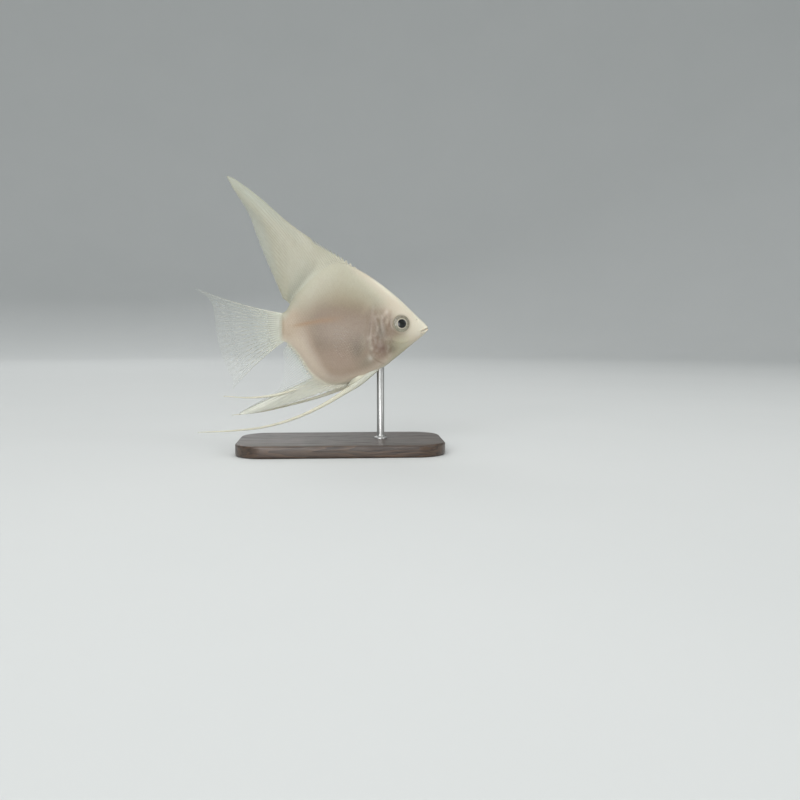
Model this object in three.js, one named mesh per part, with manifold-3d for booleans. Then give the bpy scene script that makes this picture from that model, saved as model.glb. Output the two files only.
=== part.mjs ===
// A freshwater angelfish, life size, held over a plain display stand by one rod.
// Millimetres, +Z up, snout towards +X. The origin is the centre of the stand's underside.
// Inside the fish group, x and z are measured from the middle of the body's axis and y from its midplane.

import * as THREE from 'three';
import { mergeVertices } from 'three/addons/utils/BufferGeometryUtils.js';
import Module from 'manifold-3d';

const wasm = await Module();
wasm.setup();

// ---------------------------------------------------------------- driving dimensions

const BODY_LENGTH = 60; // snout tip to the end of the tail stalk
const SNOUT_X = BODY_LENGTH / 2;
const STALK_END_X = -BODY_LENGTH / 2;
const STALK_FRONT_X = -27; // where the trunk hands over to the tail stalk
const GAP = 0.3; // clearance between touching pieces

const BASE_LENGTH = 84;
const BASE_WIDTH = 46;
const BASE_THICKNESS = 5;
const BASE_CORNER = 12;
const BASE_BEVEL = 0.8;
const ROD_RADIUS = 1.5;
const ROD_X = 10.4; // under the breast, just ahead of the pelvic fins
const FIN_CLEARANCE = 3; // the lowest filament clears the base by this much
const LOWEST_FILAMENT_Z = -42.8;
const FISH_SHIFT_X = 6; // brings the body's weight over the middle of the base
const AXIS_HEIGHT = BASE_THICKNESS + FIN_CLEARANCE - LOWEST_FILAMENT_Z;

// Outlines of the body without its fins, as [x, z] stations along the axis.
const BACK = [
  [-30, 5.6], [-27.8, 6.9], [-25.4, 11.2], [-22.6, 15.3], [-17.4, 21.4], [-11.5, 25.3], [-5, 26.1],
  [2.9, 22.6], [10.3, 17.8], [18.5, 11.2], [26.7, 3.4], [30, 0.5],
];
const BELLY = [
  [-30, -5.7], [-28.2, -6.1], [-25.6, -8.2], [-22.6, -12.0], [-18, -19.0], [-13, -22.8], [-6.2, -23.5],
  [2.9, -21.1], [10.3, -17.4], [18.5, -11.1], [24.7, -6.0], [28.4, -3.0], [30, -1.7],
];
// Half of the body's thickness at its widest level, and the height of that level.
const HALF_WIDTH = [
  [-30, 1.25], [-27, 1.8], [-20, 3.4], [-12, 4.9], [-4, 5.7], [4, 5.9], [11, 5.8], [17, 5.3],
  [21, 4.6], [25, 3.3], [28, 2.1], [30, 1.5],
];
const WIDEST_Z = [[-30, 0], [-20, -0.6], [-8, -2], [4, -2.4], [14, -1], [20, 0.4], [26, -0.6], [30, -0.6]];
// How sharply the flanks close: 1 is an ellipse, more is a keel.
const BACK_KEEL = [[-30, 1], [-24, 1.2], [-10, 1.45], [4, 1.3], [12, 1.05], [20, 0.9], [30, 0.85]];
const BELLY_KEEL = [[-30, 1], [-22, 1.3], [-10, 1.3], [2, 1.05], [12, 1.05], [20, 1], [30, 0.9]];
const FLANK_CROWD = 0.35; // how much closer a ring's points lie on the flanks than at the keels
const SNOUT_ROUND = 1.7; // length over which the snout rounds off

// The gill cover's rear margin, as [z, x], continued over the nape and under the throat.
const GILL_MARGIN = [
  [30, 6.2], [20, 7.4], [12, 8.2], [6, 7.0], [0, 5.8], [-5, 5.5], [-9, 5.9], [-12, 7.2], [-14, 9.8],
  [-15.4, 13.6], [-17, 19.5],
];
const GILL_TOP_Z = 7.5; // where the gill opening starts
const GILL_STEP = 0.4; // how far the cover stands proud of the flank

// turn is how far the eye faces forward, in degrees, as the flank narrows there.
const EYE = { x: 18.75, z: 1.45, radius: 3.45, depth: 2.1, bulge: 0.65, turn: 9 };
// Low ridges of the head's side: height, half width and distance from the eye's centre.
const ORBIT = { height: 0.3, width: 0.9, radius: 4.25 };
const CHEEK = { height: 0.25, width: 0.9, radius: 7.4, bearing: 215 }; // bearing of its middle, in degrees
const COVER_GROOVE = { depth: 0.15, width: 0.9, ahead: 5.2 }; // runs ahead of the gill cover's margin
const MOUTH = { front: [31, 0.15], corner: [27.1, -1.75], gape: 0.28, lip: 0.28, lipWidth: 0.5 };
const NOSTRIL = { x: 25.1, z: 3.0, radius: 0.48, depth: 0.6 };

const MEMBRANE = 0.5; // thickness of a fin between its rays
const RAY_RIDGE = 0.17; // how far a ray stands out on each face
const FIN_EDGE = 0.17; // half of a fin's thickness at its margin

const LATTICE = 0.01; // spacing to which the cut solids' points are snapped
const NEEDLE_HEIGHT = 0.006; // a triangle flatter than this is turned into its neighbour
const NEEDLE_PASSES = 20;
const ROOT_DEPTH = 1.3; // how deep a fin's root is sunk before the body is taken out of it

// ---------------------------------------------------------------- small helpers

const { sin, cos, exp, hypot, PI, min, max, abs } = Math;
const mix = (a, b, t) => a + (b - a) * t;
const degrees = (angle) => (angle * PI) / 180;
const bell = (distance, width) => exp(-((distance / width) ** 2));

function smoothStep(low, high, value) {
  const t = min(1, max(0, (value - low) / (high - low)));
  return t * t * (3 - 2 * t);
}

// A smooth curve through rows of [t, value, ...], with t rising. Gives an array of values at t.
function curveThrough(rows) {
  const ts = rows.map((row) => row[0]);
  const slope = (i, k) => {
    const [a, b] = [max(0, i - 1), min(rows.length - 1, i + 1)];
    return (rows[b][k] - rows[a][k]) / (ts[b] - ts[a]);
  };
  return (t) => {
    let i = 0;
    while (i < rows.length - 2 && t > ts[i + 1]) i += 1;
    const span = ts[i + 1] - ts[i];
    const u = min(1, max(0, (t - ts[i]) / span));
    const [u2, u3] = [u * u, u * u * u];
    return rows[i].slice(1).map((_, n) => {
      const k = n + 1;
      return (2 * u3 - 3 * u2 + 1) * rows[i][k] + (u3 - 2 * u2 + u) * span * slope(i, k)
        + (3 * u2 - 2 * u3) * rows[i + 1][k] + (u3 - u2) * span * slope(i + 1, k);
    });
  };
}

function lineThrough(rows) {
  const curve = curveThrough(rows.slice().sort((a, b) => a[0] - b[0]));
  return (t) => curve(t)[0];
}

// ---------------------------------------------------------------- solids

// A closed solid from points and triangles, turned so that its faces point out.
function solidFrom(points, triangles) {
  const make = (faces) => new wasm.Manifold(new wasm.Mesh({
    numProp: 3,
    vertProperties: new Float32Array(points.flat()),
    triVerts: new Uint32Array(faces.flat()),
  }));
  const solid = make(triangles);
  return solid.volume() > 0 ? solid : make(triangles.map(([a, b, c]) => [a, c, b]));
}

function solidOf(geometry) {
  const bare = geometry.clone();
  bare.deleteAttribute('normal');
  bare.deleteAttribute('uv');
  const merged = mergeVertices(bare, 1e-4);
  return new wasm.Manifold(new wasm.Mesh({
    numProp: 3,
    vertProperties: merged.attributes.position.array,
    triVerts: new Uint32Array(merged.index.array),
  }));
}

// The solid's points and triangles, tidied after cuts: points are snapped to a fine lattice and
// merged there, and each needle is flattened away by turning its longest edge.
function tidied(solid) {
  const { vertProperties, triVerts } = solid.getMesh();
  const seen = new Map();
  const points = [];
  const index = Array.from({ length: vertProperties.length / 3 }, (_, i) => {
    const corner = vertProperties.subarray(3 * i, 3 * i + 3);
    const cell = Array.from(corner, (value) => Math.round(value / LATTICE));
    const key = cell.join();
    if (!seen.has(key)) seen.set(key, points.push(cell.map((value) => value * LATTICE)) - 1);
    return seen.get(key);
  });
  const triangles = Array.from({ length: triVerts.length / 3 }, (_, i) => (
    Array.from(triVerts.subarray(3 * i, 3 * i + 3), (v) => index[v])
  ));
  return { points, triangles: withoutNeedles(points, withoutFlaps(triangles)) };
}

// Leaves out triangles with a doubled corner, and back-to-back pairs on the same three corners.
function withoutFlaps(triangles) {
  const faces = new Map();
  for (const face of triangles) {
    const key = [...face].sort().join();
    if (new Set(face).size === 3 && !faces.delete(key)) faces.set(key, face);
  }
  return [...faces.values()];
}

function withoutNeedles(points, faces) {
  let triangles = faces;
  const vector = (a, b) => new THREE.Vector3(...points[b]).sub(new THREE.Vector3(...points[a]));
  for (let pass = 0; pass < NEEDLE_PASSES; pass += 1) {
    const owner = new Map();
    triangles.forEach((face, i) => face.forEach((a, k) => owner.set(`${a},${face[(k + 1) % 3]}`, i)));
    const turned = new Set();
    triangles.forEach((face, i) => {
      const lengths = face.map((a, k) => vector(a, face[(k + 1) % 3]).length());
      const k = lengths.indexOf(max(...lengths));
      const [a, b, c] = [face[k], face[(k + 1) % 3], face[(k + 2) % 3]];
      const height = vector(a, b).cross(vector(a, c)).length() / lengths[k];
      const j = owner.get(`${b},${a}`);
      if (height > NEEDLE_HEIGHT || turned.has(i) || turned.has(j)) return;
      const d = triangles[j].find((v) => v !== a && v !== b);
      if (c === d || owner.has(`${c},${d}`) || owner.has(`${d},${c}`)) return;
      triangles[i] = [c, a, d];
      triangles[j] = [d, b, c];
      turned.add(i).add(j);
    });
    if (!turned.size) break;
    triangles = withoutFlaps(triangles);
  }
  return triangles;
}

function largestPiece(solid) {
  return solid.decompose().reduce((best, piece) => (piece.volume() > best.volume() ? piece : best));
}

// Closed rings of equal length, joined into a skin with a fan over each end.
function loft(rings) {
  const count = rings[0].length;
  const points = rings.flat();
  const triangles = [];
  for (let i = 0; i < rings.length - 1; i += 1) {
    for (let j = 0; j < count; j += 1) {
      const [a, b] = [i * count + j, i * count + ((j + 1) % count)];
      triangles.push([a, b, b + count], [a, b + count, a + count]);
    }
  }
  for (const [first, turn] of [[0, 1], [(rings.length - 1) * count, 0]]) {
    const ring = points.slice(first, first + count);
    const centre = points.push([0, 1, 2].map((k) => ring.reduce((sum, p) => sum + p[k], 0) / count)) - 1;
    for (let j = 0; j < count; j += 1) {
      const [a, b] = [first + j, first + ((j + 1) % count)];
      triangles.push(turn ? [b, a, centre] : [a, b, centre]);
    }
  }
  return solidFrom(points, triangles);
}

// A thin plate over a grid of middle points, with the same triangles on both faces.
function plate(grid, halfThickness, normal) {
  const [columns, rows] = [grid.length, grid[0].length];
  const points = [];
  for (const side of [1, -1]) {
    grid.forEach((column, i) => column.forEach((p, j) => {
      points.push(p.map((value, k) => value + side * halfThickness[i][j] * normal[k]));
    }));
  }
  const other = columns * rows;
  const at = (i, j) => i * rows + j;
  const triangles = [];
  for (let i = 0; i < columns - 1; i += 1) {
    for (let j = 0; j < rows - 1; j += 1) {
      const [a, b, c, d] = [at(i, j), at(i + 1, j), at(i + 1, j + 1), at(i, j + 1)];
      triangles.push([a, b, c], [a, c, d]);
      triangles.push([other + a, other + c, other + b], [other + a, other + d, other + c]);
    }
  }
  const rim = [];
  for (let i = 0; i < columns - 1; i += 1) rim.push(at(i, 0));
  for (let j = 0; j < rows - 1; j += 1) rim.push(at(columns - 1, j));
  for (let i = columns - 1; i > 0; i -= 1) rim.push(at(i, rows - 1));
  for (let j = rows - 1; j > 0; j -= 1) rim.push(at(0, j));
  rim.forEach((a, n) => {
    const b = rim[(n + 1) % rim.length];
    triangles.push([b, a, other + a], [b, other + a, other + b]);
  });
  return solidFrom(points, triangles);
}

// A tapered, flattened strand along path(t), wide(t) across in x and z and thick(t) across in y.
function strand(path, wide, thick, steps, sides = 8) {
  const rings = [];
  for (let i = 0; i <= steps; i += 1) {
    const t = i / steps;
    const [here, before, after] = [path(t), path(max(0, t - 0.01)), path(min(1, t + 0.01))];
    const [dx, dz] = [after[0] - before[0], after[2] - before[2]];
    const length = hypot(dx, dz);
    rings.push(Array.from({ length: sides }, (_, j) => {
      const angle = (2 * PI * j) / sides;
      const across = (cos(angle) * wide(t)) / (2 * length);
      return [here[0] - dz * across, here[1] + sin(angle) * thick(t) / 2, here[2] + dx * across];
    }));
  }
  return loft(rings);
}

// An extruded x-z outline that runs right through the fish from side to side.
function slabThrough(outline, halfDepth) {
  const shape = new THREE.Shape(outline.map(([x, z]) => new THREE.Vector2(x, z)));
  const geometry = new THREE.ExtrudeGeometry(shape, { depth: 2 * halfDepth, bevelEnabled: false });
  geometry.rotateX(PI / 2);
  geometry.translate(0, halfDepth, 0);
  return solidOf(geometry);
}

// ---------------------------------------------------------------- body

const backZ = lineThrough(BACK);
const bellyZ = lineThrough(BELLY);
const halfWidth = lineThrough(HALF_WIDTH);
const widestZ = lineThrough(WIDEST_Z);
const backKeel = lineThrough(BACK_KEEL);
const bellyKeel = lineThrough(BELLY_KEEL);
const gillMarginX = lineThrough(GILL_MARGIN);

function distanceToSegment([x, z], [ax, az], [bx, bz]) {
  const t = min(1, max(0, ((x - ax) * (bx - ax) + (z - az) * (bz - az)) / ((bx - ax) ** 2 + (bz - az) ** 2)));
  return hypot(x - mix(ax, bx, t), z - mix(az, bz, t));
}

// How far the head's side stands out from the plain body: the orbit's rim, the cheek's ridge,
// the gill cover's swelling and raised margin, and the lips.
function headRelief(x, z) {
  const fromEye = hypot(x - EYE.x, z - EYE.z);
  const bearing = Math.atan2(z - EYE.z, x - EYE.x);
  const orbit = ORBIT.height * bell(fromEye - ORBIT.radius, ORBIT.width);
  const behindAndBelow = smoothStep(-0.15, 0.35, cos(bearing - degrees(CHEEK.bearing)));
  const cheek = CHEEK.height * bell(fromEye - CHEEK.radius, CHEEK.width) * behindAndBelow;
  const ahead = x - gillMarginX(z);
  const onCover = smoothStep(GILL_TOP_Z + 2, GILL_TOP_Z - 2, z);
  const groove = COVER_GROOVE.depth * bell(ahead - COVER_GROOVE.ahead, COVER_GROOVE.width);
  const cover = onCover * (GILL_STEP * smoothStep(4.5, 1.2, ahead) - groove);
  const fromMouth = distanceToSegment([x, z], MOUTH.front, MOUTH.corner);
  const lips = MOUTH.lip * bell(fromMouth - (MOUTH.gape + MOUTH.lipWidth) / 1.2, MOUTH.lipWidth);
  return orbit + cheek + cover + lips;
}

// One cross-section of the body at x, as points from the belly up one side and down the other.
function bodyRing(x, around, grow, relief) {
  const along = max(-1, min(1, x / SNOUT_X)) * SNOUT_X;
  const toTip = max(0, (along - (SNOUT_X - SNOUT_ROUND)) / SNOUT_ROUND);
  const close = Math.sqrt(max(0.0004, 1 - toTip * toTip));
  const middle = widestZ(along);
  const up = (backZ(along) - middle) * close + grow;
  const down = (middle - bellyZ(along)) * close + grow;
  const wide = halfWidth(along) * close;
  return Array.from({ length: around }, (_, j) => {
    const even = (2 * PI * j) / around;
    const turn = even + FLANK_CROWD * sin(2 * even) / 2;
    const [rise, side] = [-cos(turn), sin(turn)];
    const keel = rise > 0 ? backKeel(along) : bellyKeel(along);
    const z = middle + rise * (rise > 0 ? up : down);
    const out = wide * abs(side) ** keel + grow * abs(side) ** 0.2 + relief(along, z) * abs(side) * close;
    return [x, Math.sign(side) * (abs(side) < 1e-9 ? 0 : out), z];
  });
}

const smooth = () => 0;

// The body between two stations, denser towards the snout, and grown by an even margin.
function bodySolid({ from, to, stations, around, grow = 0, relief = smooth, crowd = 1 }) {
  const reach = (x) => x * (1 + grow / SNOUT_X);
  return loft(Array.from({ length: stations + 1 }, (_, i) => {
    const x = mix(from, to, (i / stations) ** crowd);
    return bodyRing(reach(x), around, grow, relief);
  }));
}

// Everything ahead of the gill cover's margin, moved forward, square to the margin, by shift.
function aheadOfGillMargin(shift) {
  const margin = [];
  for (let z = 30; z >= -17; z -= z < -10 ? 0.7 : 1.5) {
    const slope = (gillMarginX(z + 0.1) - gillMarginX(z - 0.1)) / 0.2;
    const tilt = hypot(1, slope);
    margin.push([gillMarginX(z) + shift / tilt, z - (shift * slope) / tilt]);
  }
  return slabThrough([...margin, [40, -18], [40, 30]], 12);
}

const eyeMiddleY = halfWidth(EYE.x) + EYE.bulge - EYE.depth;

function eyeball(side, grow) {
  const ball = new THREE.SphereGeometry(1, 24, 11);
  ball.rotateX(PI / 2);
  ball.scale(EYE.radius + grow, EYE.depth + grow, EYE.radius + grow);
  ball.rotateZ(-side * degrees(EYE.turn));
  ball.translate(EYE.x, side * eyeMiddleY, EYE.z);
  return solidOf(ball);
}

function mouthSlit() {
  const [[fx, fz], [cx, cz]] = [MOUTH.front, MOUTH.corner];
  const half = MOUTH.gape / 2;
  return slabThrough([[fx, fz - half], [fx, fz + half], [cx, cz + half / 2], [cx, cz - half / 2]], 6);
}

function nostrilPit(side) {
  const pit = new THREE.CylinderGeometry(NOSTRIL.radius, NOSTRIL.radius * 0.8, 2 * NOSTRIL.depth, 8);
  pit.translate(NOSTRIL.x, side * sideSurfaceY(NOSTRIL.x, NOSTRIL.z), NOSTRIL.z);
  return solidOf(pit);
}

// Where the body's side lies at a point of its profile.
function sideSurfaceY(x, z) {
  const middle = widestZ(x);
  const rise = (z - middle) / (z > middle ? backZ(x) - middle : middle - bellyZ(x));
  const keel = z > middle ? backKeel(x) : bellyKeel(x);
  return halfWidth(x) * Math.sqrt(max(0, 1 - rise * rise)) ** keel;
}

const grownBody = bodySolid({ from: SNOUT_X, to: STALK_END_X, stations: 34, around: 36, grow: GAP });
// Along the keels the flanks slope at about 45 degrees, so an even gap there takes more growth.
const bodyUnderFins = bodySolid({
  from: SNOUT_X, to: STALK_END_X, stations: 34, around: 36, grow: GAP * Math.SQRT2,
});

function headSolid() {
  let head = bodySolid({ from: SNOUT_X, to: 4.5, stations: 30, around: 52, relief: headRelief, crowd: 1.25 });
  head = head.intersect(aheadOfGillMargin(GAP / 2)).subtract(mouthSlit());
  for (const side of [1, -1]) {
    head = head.subtract(eyeball(side, GAP)).subtract(nostrilPit(side));
  }
  return largestPiece(head);
}

function trunkSolid() {
  const whole = bodySolid({ from: 21, to: STALK_FRONT_X + GAP / 2, stations: 24, around: 36 });
  return largestPiece(whole.subtract(aheadOfGillMargin(-GAP / 2)));
}

function tailStalkSolid() {
  return bodySolid({ from: STALK_FRONT_X - GAP / 2, to: STALK_END_X, stations: 3, around: 24 });
}

// ---------------------------------------------------------------- fins

// A fin of rays and membrane. root(s) and tip(s) give a ray's two ends in x and z for s from 0 at the
// leading edge to 1 at the last ray, lean(s) is the angle at which it leaves the body, and sway(s, r)
// is its sideways drift. place, if given, carries the flat fin into position.
function finSheet({
  rays, rows, root, tip, lean, sway = smooth, notch = smooth, flare = 0.45, place, normal = [0, 1, 0],
}) {
  const columns = 2 * rays - 1;
  const grid = [];
  const half = [];
  for (let i = 0; i < columns; i += 1) {
    const s = i / (columns - 1);
    const isRay = i % 2 === 0;
    const [[ax, az], [bx, bz]] = [root(s), tip(s)];
    const length = hypot(bx - ax, bz - az);
    const [cx, cz] = [ax + cos(lean(s)) * length * 0.45, az + sin(lean(s)) * length * 0.45];
    const reach = isRay ? 1 : 1 - notch(s);
    grid.push([]);
    half.push([]);
    for (let j = 0; j <= rows; j += 1) {
      const even = j / rows;
      const r = reach * even;
      const point = [
        (1 - r) ** 2 * ax + 2 * r * (1 - r) * cx + r * r * bx,
        sway(s, r),
        (1 - r) ** 2 * az + 2 * r * (1 - r) * cz + r * r * bz,
      ];
      grid[i].push(place ? place(point) : point);
      const ridge = isRay ? RAY_RIDGE * (1 - 0.6 * even) : 0;
      const body = MEMBRANE / 2 + ridge + flare * exp(-(r * length) / 2.2);
      half[i].push(mix(body, FIN_EDGE, even ** 5));
    }
  }
  return plate(grid, half, normal);
}

// Points on the body's outline, sunk by depth, for s from 0 to 1 between two x stations.
function alongOutline(outline, fromX, toX, depth) {
  const steps = 60;
  const points = Array.from({ length: steps + 1 }, (_, i) => {
    const x = mix(fromX, toX, i / steps);
    const slope = (outline(x + 0.05) - outline(x - 0.05)) / 0.1;
    const inward = outline(x) > 0 ? -1 : 1;
    const tilt = hypot(1, slope);
    return [x - inward * depth * slope / tilt, outline(x) + inward * depth / tilt];
  });
  const lengths = [0];
  points.slice(1).forEach(([x, z], i) => {
    lengths.push(lengths[i] + hypot(x - points[i][0], z - points[i][1]));
  });
  const rows = points.map((p, i) => [lengths[i] / lengths[steps], ...p]);
  return curveThrough(rows);
}

const DORSAL = {
  fromX: 2.6,
  toX: -27.2,
  spines: 12,
  softRays: 25,
  // s, x, z of the ray tips, from the first spine over the lobe to the last ray
  margin: [
    [0, 1.4, 24.6], [0.1, -4.6, 28.3], [0.2, -10.5, 31.6], [0.3, -16.5, 35.2], [0.4, -22.6, 39.2],
    [0.46, -29, 44.2], [0.51, -39, 53], [0.55, -47.2, 59], [0.575, -51.2, 61], [0.6, -50, 57.6],
    [0.65, -46.2, 51.6], [0.72, -42.6, 45.4], [0.8, -40, 38], [0.87, -36.6, 29], [0.94, -32.6, 19.6],
    [1, -29.4, 11.8],
  ],
  lean: [[0, 128], [0.2, 124], [0.45, 120], [0.6, 116], [0.8, 110], [1, 104]],
};

const ANAL = {
  fromX: -1.4,
  toX: -27.2,
  spines: 6,
  softRays: 26,
  margin: [
    [0, -3.4, -24.0], [0.08, -8, -25.6], [0.17, -15, -27.4], [0.25, -23.5, -30.0], [0.32, -34, -33.2],
    [0.37, -43.5, -35.3], [0.4, -47.4, -35.2], [0.43, -44.6, -33.2], [0.48, -38.2, -29.5],
    [0.54, -32.9, -26.6], [0.6, -30.4, -23.9], [0.7, -29.3, -20.4], [0.85, -28.8, -15], [1, -29.4, -9.6],
  ],
  lean: [[0, 212], [0.3, 206], [0.5, 207], [0.7, 212], [1, 222]],
};
// The strand that trails from the anal fin's rear: its path as [t, x, y, z], its width and its thickness.
const ANAL_FILAMENT = {
  path: [[0, -24.2, -0.9, -25.4], [0.3, -33, -1, -27.7], [0.65, -43.5, -1.2, -28.6], [1, -53.5, -1.5, -27.9]],
  wide: [[0, 0.3], [0.2, 1.3], [0.5, 1], [1, 0.5]],
  thick: [[0, 0.3], [0.2, 0.9], [0.5, 0.7], [1, 0.5]],
};

const CAUDAL = {
  rays: 18,
  rootX: STALK_END_X - GAP,
  rootTop: 5.6,
  rootBottom: -5.7,
  margin: [
    [0, -65, 15.8], [0.05, -60.4, 12.6], [0.14, -58, 9.2], [0.3, -57, 3.4], [0.5, -56, -4.2],
    [0.7, -54, -12], [0.86, -51.4, -18.2], [0.95, -49.6, -21.8], [1, -50, -25],
  ],
  lean: [[0, 172], [0.5, 186], [1, 214]],
};

const isSpiny = (fin, s) => s * (fin.spines + fin.softRays) < fin.spines;

function dorsalFin() {
  const lean = lineThrough(DORSAL.lean);
  const fin = finSheet({
    rays: DORSAL.spines + DORSAL.softRays,
    rows: 6,
    root: alongOutline(backZ, DORSAL.fromX, DORSAL.toX, ROOT_DEPTH),
    tip: curveThrough(DORSAL.margin),
    lean: (s) => degrees(lean(s)),
    sway: (s, r) => 2.6 * r * r * smoothStep(0.35, 0.6, s) + 0.5 * r * sin(9 * s),
    notch: (s) => (isSpiny(DORSAL, s) ? 0.12 : 0.015),
  });
  return largestPiece(fin.subtract(bodyUnderFins));
}

function analFin() {
  const lean = lineThrough(ANAL.lean);
  const fin = finSheet({
    rays: ANAL.spines + ANAL.softRays,
    rows: 6,
    root: alongOutline(bellyZ, ANAL.fromX, ANAL.toX, ROOT_DEPTH),
    tip: curveThrough(ANAL.margin),
    lean: (s) => degrees(lean(s)),
    sway: (s, r) => -1.6 * r * r * bell(s - 0.4, 0.22),
    notch: (s) => (isSpiny(ANAL, s) ? 0.08 : 0.015),
  });
  const { path, wide, thick } = ANAL_FILAMENT;
  const filament = strand(curveThrough(path), lineThrough(wide), lineThrough(thick), 18);
  return largestPiece(fin.add(filament).subtract(bodyUnderFins));
}

function caudalFin() {
  const lean = lineThrough(CAUDAL.lean);
  return finSheet({
    rays: CAUDAL.rays,
    rows: 9,
    root: (s) => [CAUDAL.rootX, mix(CAUDAL.rootTop, CAUDAL.rootBottom, s)],
    tip: curveThrough(CAUDAL.margin),
    lean: (s) => degrees(lean(s)),
    sway: (s, r) => 1.8 * r * r * cos(2.6 * s),
    notch: () => 0.02,
    flare: 0.55,
  });
}

// The pelvic fins: a spine and a long first ray drawn out into a filament, with a small fan behind it.
const PELVIC = {
  filament: [
    [0, 8.6, 1.5, -16.9], [0.1, 2.2, 2.6, -22.2], [0.2, -4.2, 3.4, -26.2], [0.34, -13.6, 4.4, -31.8],
    [0.5, -24.8, 5.2, -36.8], [0.68, -37, 5.4, -40.2], [0.84, -50, 5.0, -41.7], [1, -63.7, 4.2, -42.3],
  ],
  filamentFar: [
    [0, 8.6, 1.5, -16.9], [0.12, 2.0, 2.6, -21.8], [0.25, -5, 3.2, -25.0], [0.42, -14.6, 3.9, -28.6],
    [0.6, -25.2, 4.3, -31.6], [0.8, -38, 4.2, -34.6], [1, -51, 3.6, -36.2],
  ],
  wide: [[0, 2.6], [0.1, 2.9], [0.22, 2.4], [0.34, 1.7], [0.6, 1.1], [1, 0.5]],
  thick: [[0, 1.5], [0.2, 1.1], [0.6, 0.75], [1, 0.5]],
  fanShare: 0.2, // how much of the filament the fan's first ray follows
  fanFrom: [8.2, -17.2],
  fanTo: [3.2, -18.9],
  fanTips: [[0.35, -2.9, -23.7], [0.7, -2.4, -22.4], [1, -1.6, -21.3]],
  fanLean: [[0, 219], [0.35, 214], [1, 208]],
};

function pelvicFin(side, filament) {
  const spline = curveThrough(filament);
  const path = (t) => {
    const [x, y, z] = spline(t);
    return [x, side * y, z];
  };
  const ray = strand(path, lineThrough(PELVIC.wide), lineThrough(PELVIC.thick), 34);
  const [tipX, , tipZ] = path(PELVIC.fanShare);
  const lean = lineThrough(PELVIC.fanLean);
  const fan = finSheet({
    rays: 6,
    rows: 6,
    root: (s) => [mix(PELVIC.fanFrom[0], PELVIC.fanTo[0], s), mix(PELVIC.fanFrom[1], PELVIC.fanTo[1], s)],
    tip: curveThrough([[0, tipX, tipZ], ...PELVIC.fanTips]),
    lean: (s) => degrees(lean(s)),
    sway: (s, r) => path(PELVIC.fanShare * r)[1],
    flare: 0,
  });
  return largestPiece(ray.add(fan).subtract(grownBody));
}

// outward is the angle at which the fin stands off the flank, in degrees. The margin's rows are
// s, the distance back from the root and the height over its middle.
const PECTORAL = {
  x: 3.6,
  z: -5.6,
  rootHeight: 3.8,
  outward: 30,
  rays: 12,
  margin: [
    [0, 12.6, 6.2], [0.12, 14, 4.2], [0.35, 14, -0.6], [0.6, 12.4, -4.8], [0.82, 9.6, -7.2], [1, 7, -7.6],
  ],
};

function pectoralFin(side) {
  const swing = degrees(PECTORAL.outward);
  const surface = sideSurfaceY(PECTORAL.x, PECTORAL.z);
  // Local x runs back along the fin, local z up its root, and local y off its face.
  const place = ([along, off, up]) => [
    PECTORAL.x - along * cos(swing) - off * sin(swing),
    side * (surface + along * sin(swing) - off * cos(swing)),
    PECTORAL.z + up,
  ];
  const half = PECTORAL.rootHeight / 2;
  const fin = finSheet({
    rays: PECTORAL.rays,
    rows: 6,
    root: (s) => [-ROOT_DEPTH, mix(half, -half, s)],
    tip: curveThrough(PECTORAL.margin),
    lean: (s) => degrees(mix(24, -42, s)),
    sway: (s, r) => 1.1 * r * r * sin(PI * s),
    notch: () => 0.03,
    flare: 0.3,
    place,
    normal: [-sin(swing), -side * cos(swing), 0],
  });
  return largestPiece(fin.subtract(grownBody));
}

// ---------------------------------------------------------------- stand

function standBase() {
  const [w, d, r] = [BASE_LENGTH / 2 - BASE_BEVEL, BASE_WIDTH / 2 - BASE_BEVEL, BASE_CORNER];
  const outline = new THREE.Shape();
  outline.moveTo(-w + r, -d);
  outline.lineTo(w - r, -d);
  outline.absarc(w - r, -d + r, r, -PI / 2, 0);
  outline.lineTo(w, d - r);
  outline.absarc(w - r, d - r, r, 0, PI / 2);
  outline.lineTo(-w + r, d);
  outline.absarc(-w + r, d - r, r, PI / 2, PI);
  outline.lineTo(-w, -d + r);
  outline.absarc(-w + r, -d + r, r, PI, 1.5 * PI);
  const plateGeometry = new THREE.ExtrudeGeometry(outline, {
    depth: BASE_THICKNESS - 2 * BASE_BEVEL,
    bevelThickness: BASE_BEVEL,
    bevelSize: BASE_BEVEL,
    bevelSegments: 2,
    curveSegments: 6,
  });
  plateGeometry.translate(0, 0, BASE_BEVEL);
  return solidOf(plateGeometry);
}

// The rod stands on the base and ends in a saddle that follows the breast's keel.
function standRod() {
  const foot = BASE_THICKNESS + GAP - AXIS_HEIGHT;
  const top = bellyZ(ROD_X) + 1.6;
  const rod = new THREE.CylinderGeometry(ROD_RADIUS, ROD_RADIUS, top - foot, 20);
  rod.rotateX(PI / 2);
  rod.translate(ROD_X, 0, (top + foot) / 2);
  return largestPiece(solidOf(rod).subtract(grownBody));
}

// ---------------------------------------------------------------- materials and assembly

const paint = (color, roughness, metalness = 0) => (
  new THREE.MeshStandardMaterial({ color, roughness, metalness })
);
const flesh = paint(0xd9cfba, 0.42);
const headSkin = paint(0xe4ddc8, 0.4);
const finSkin = paint(0xdcdcc8, 0.45);
const filamentSkin = paint(0xe6e3b8, 0.45);
const eyeSurface = paint(0x8f948c, 0.12);
const baseFinish = paint(0x3a2a1f, 0.45);
const rodFinish = paint(0xb9bcc0, 0.3, 0.9);

function meshOf(name, solid, material) {
  const { points, triangles } = tidied(solid);
  const geometry = new THREE.BufferGeometry();
  geometry.setAttribute('position', new THREE.Float32BufferAttribute(points.flat(), 3));
  geometry.setIndex(triangles.flat());
  geometry.computeVertexNormals();
  const mesh = new THREE.Mesh(geometry, material);
  mesh.name = name;
  return mesh;
}

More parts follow.
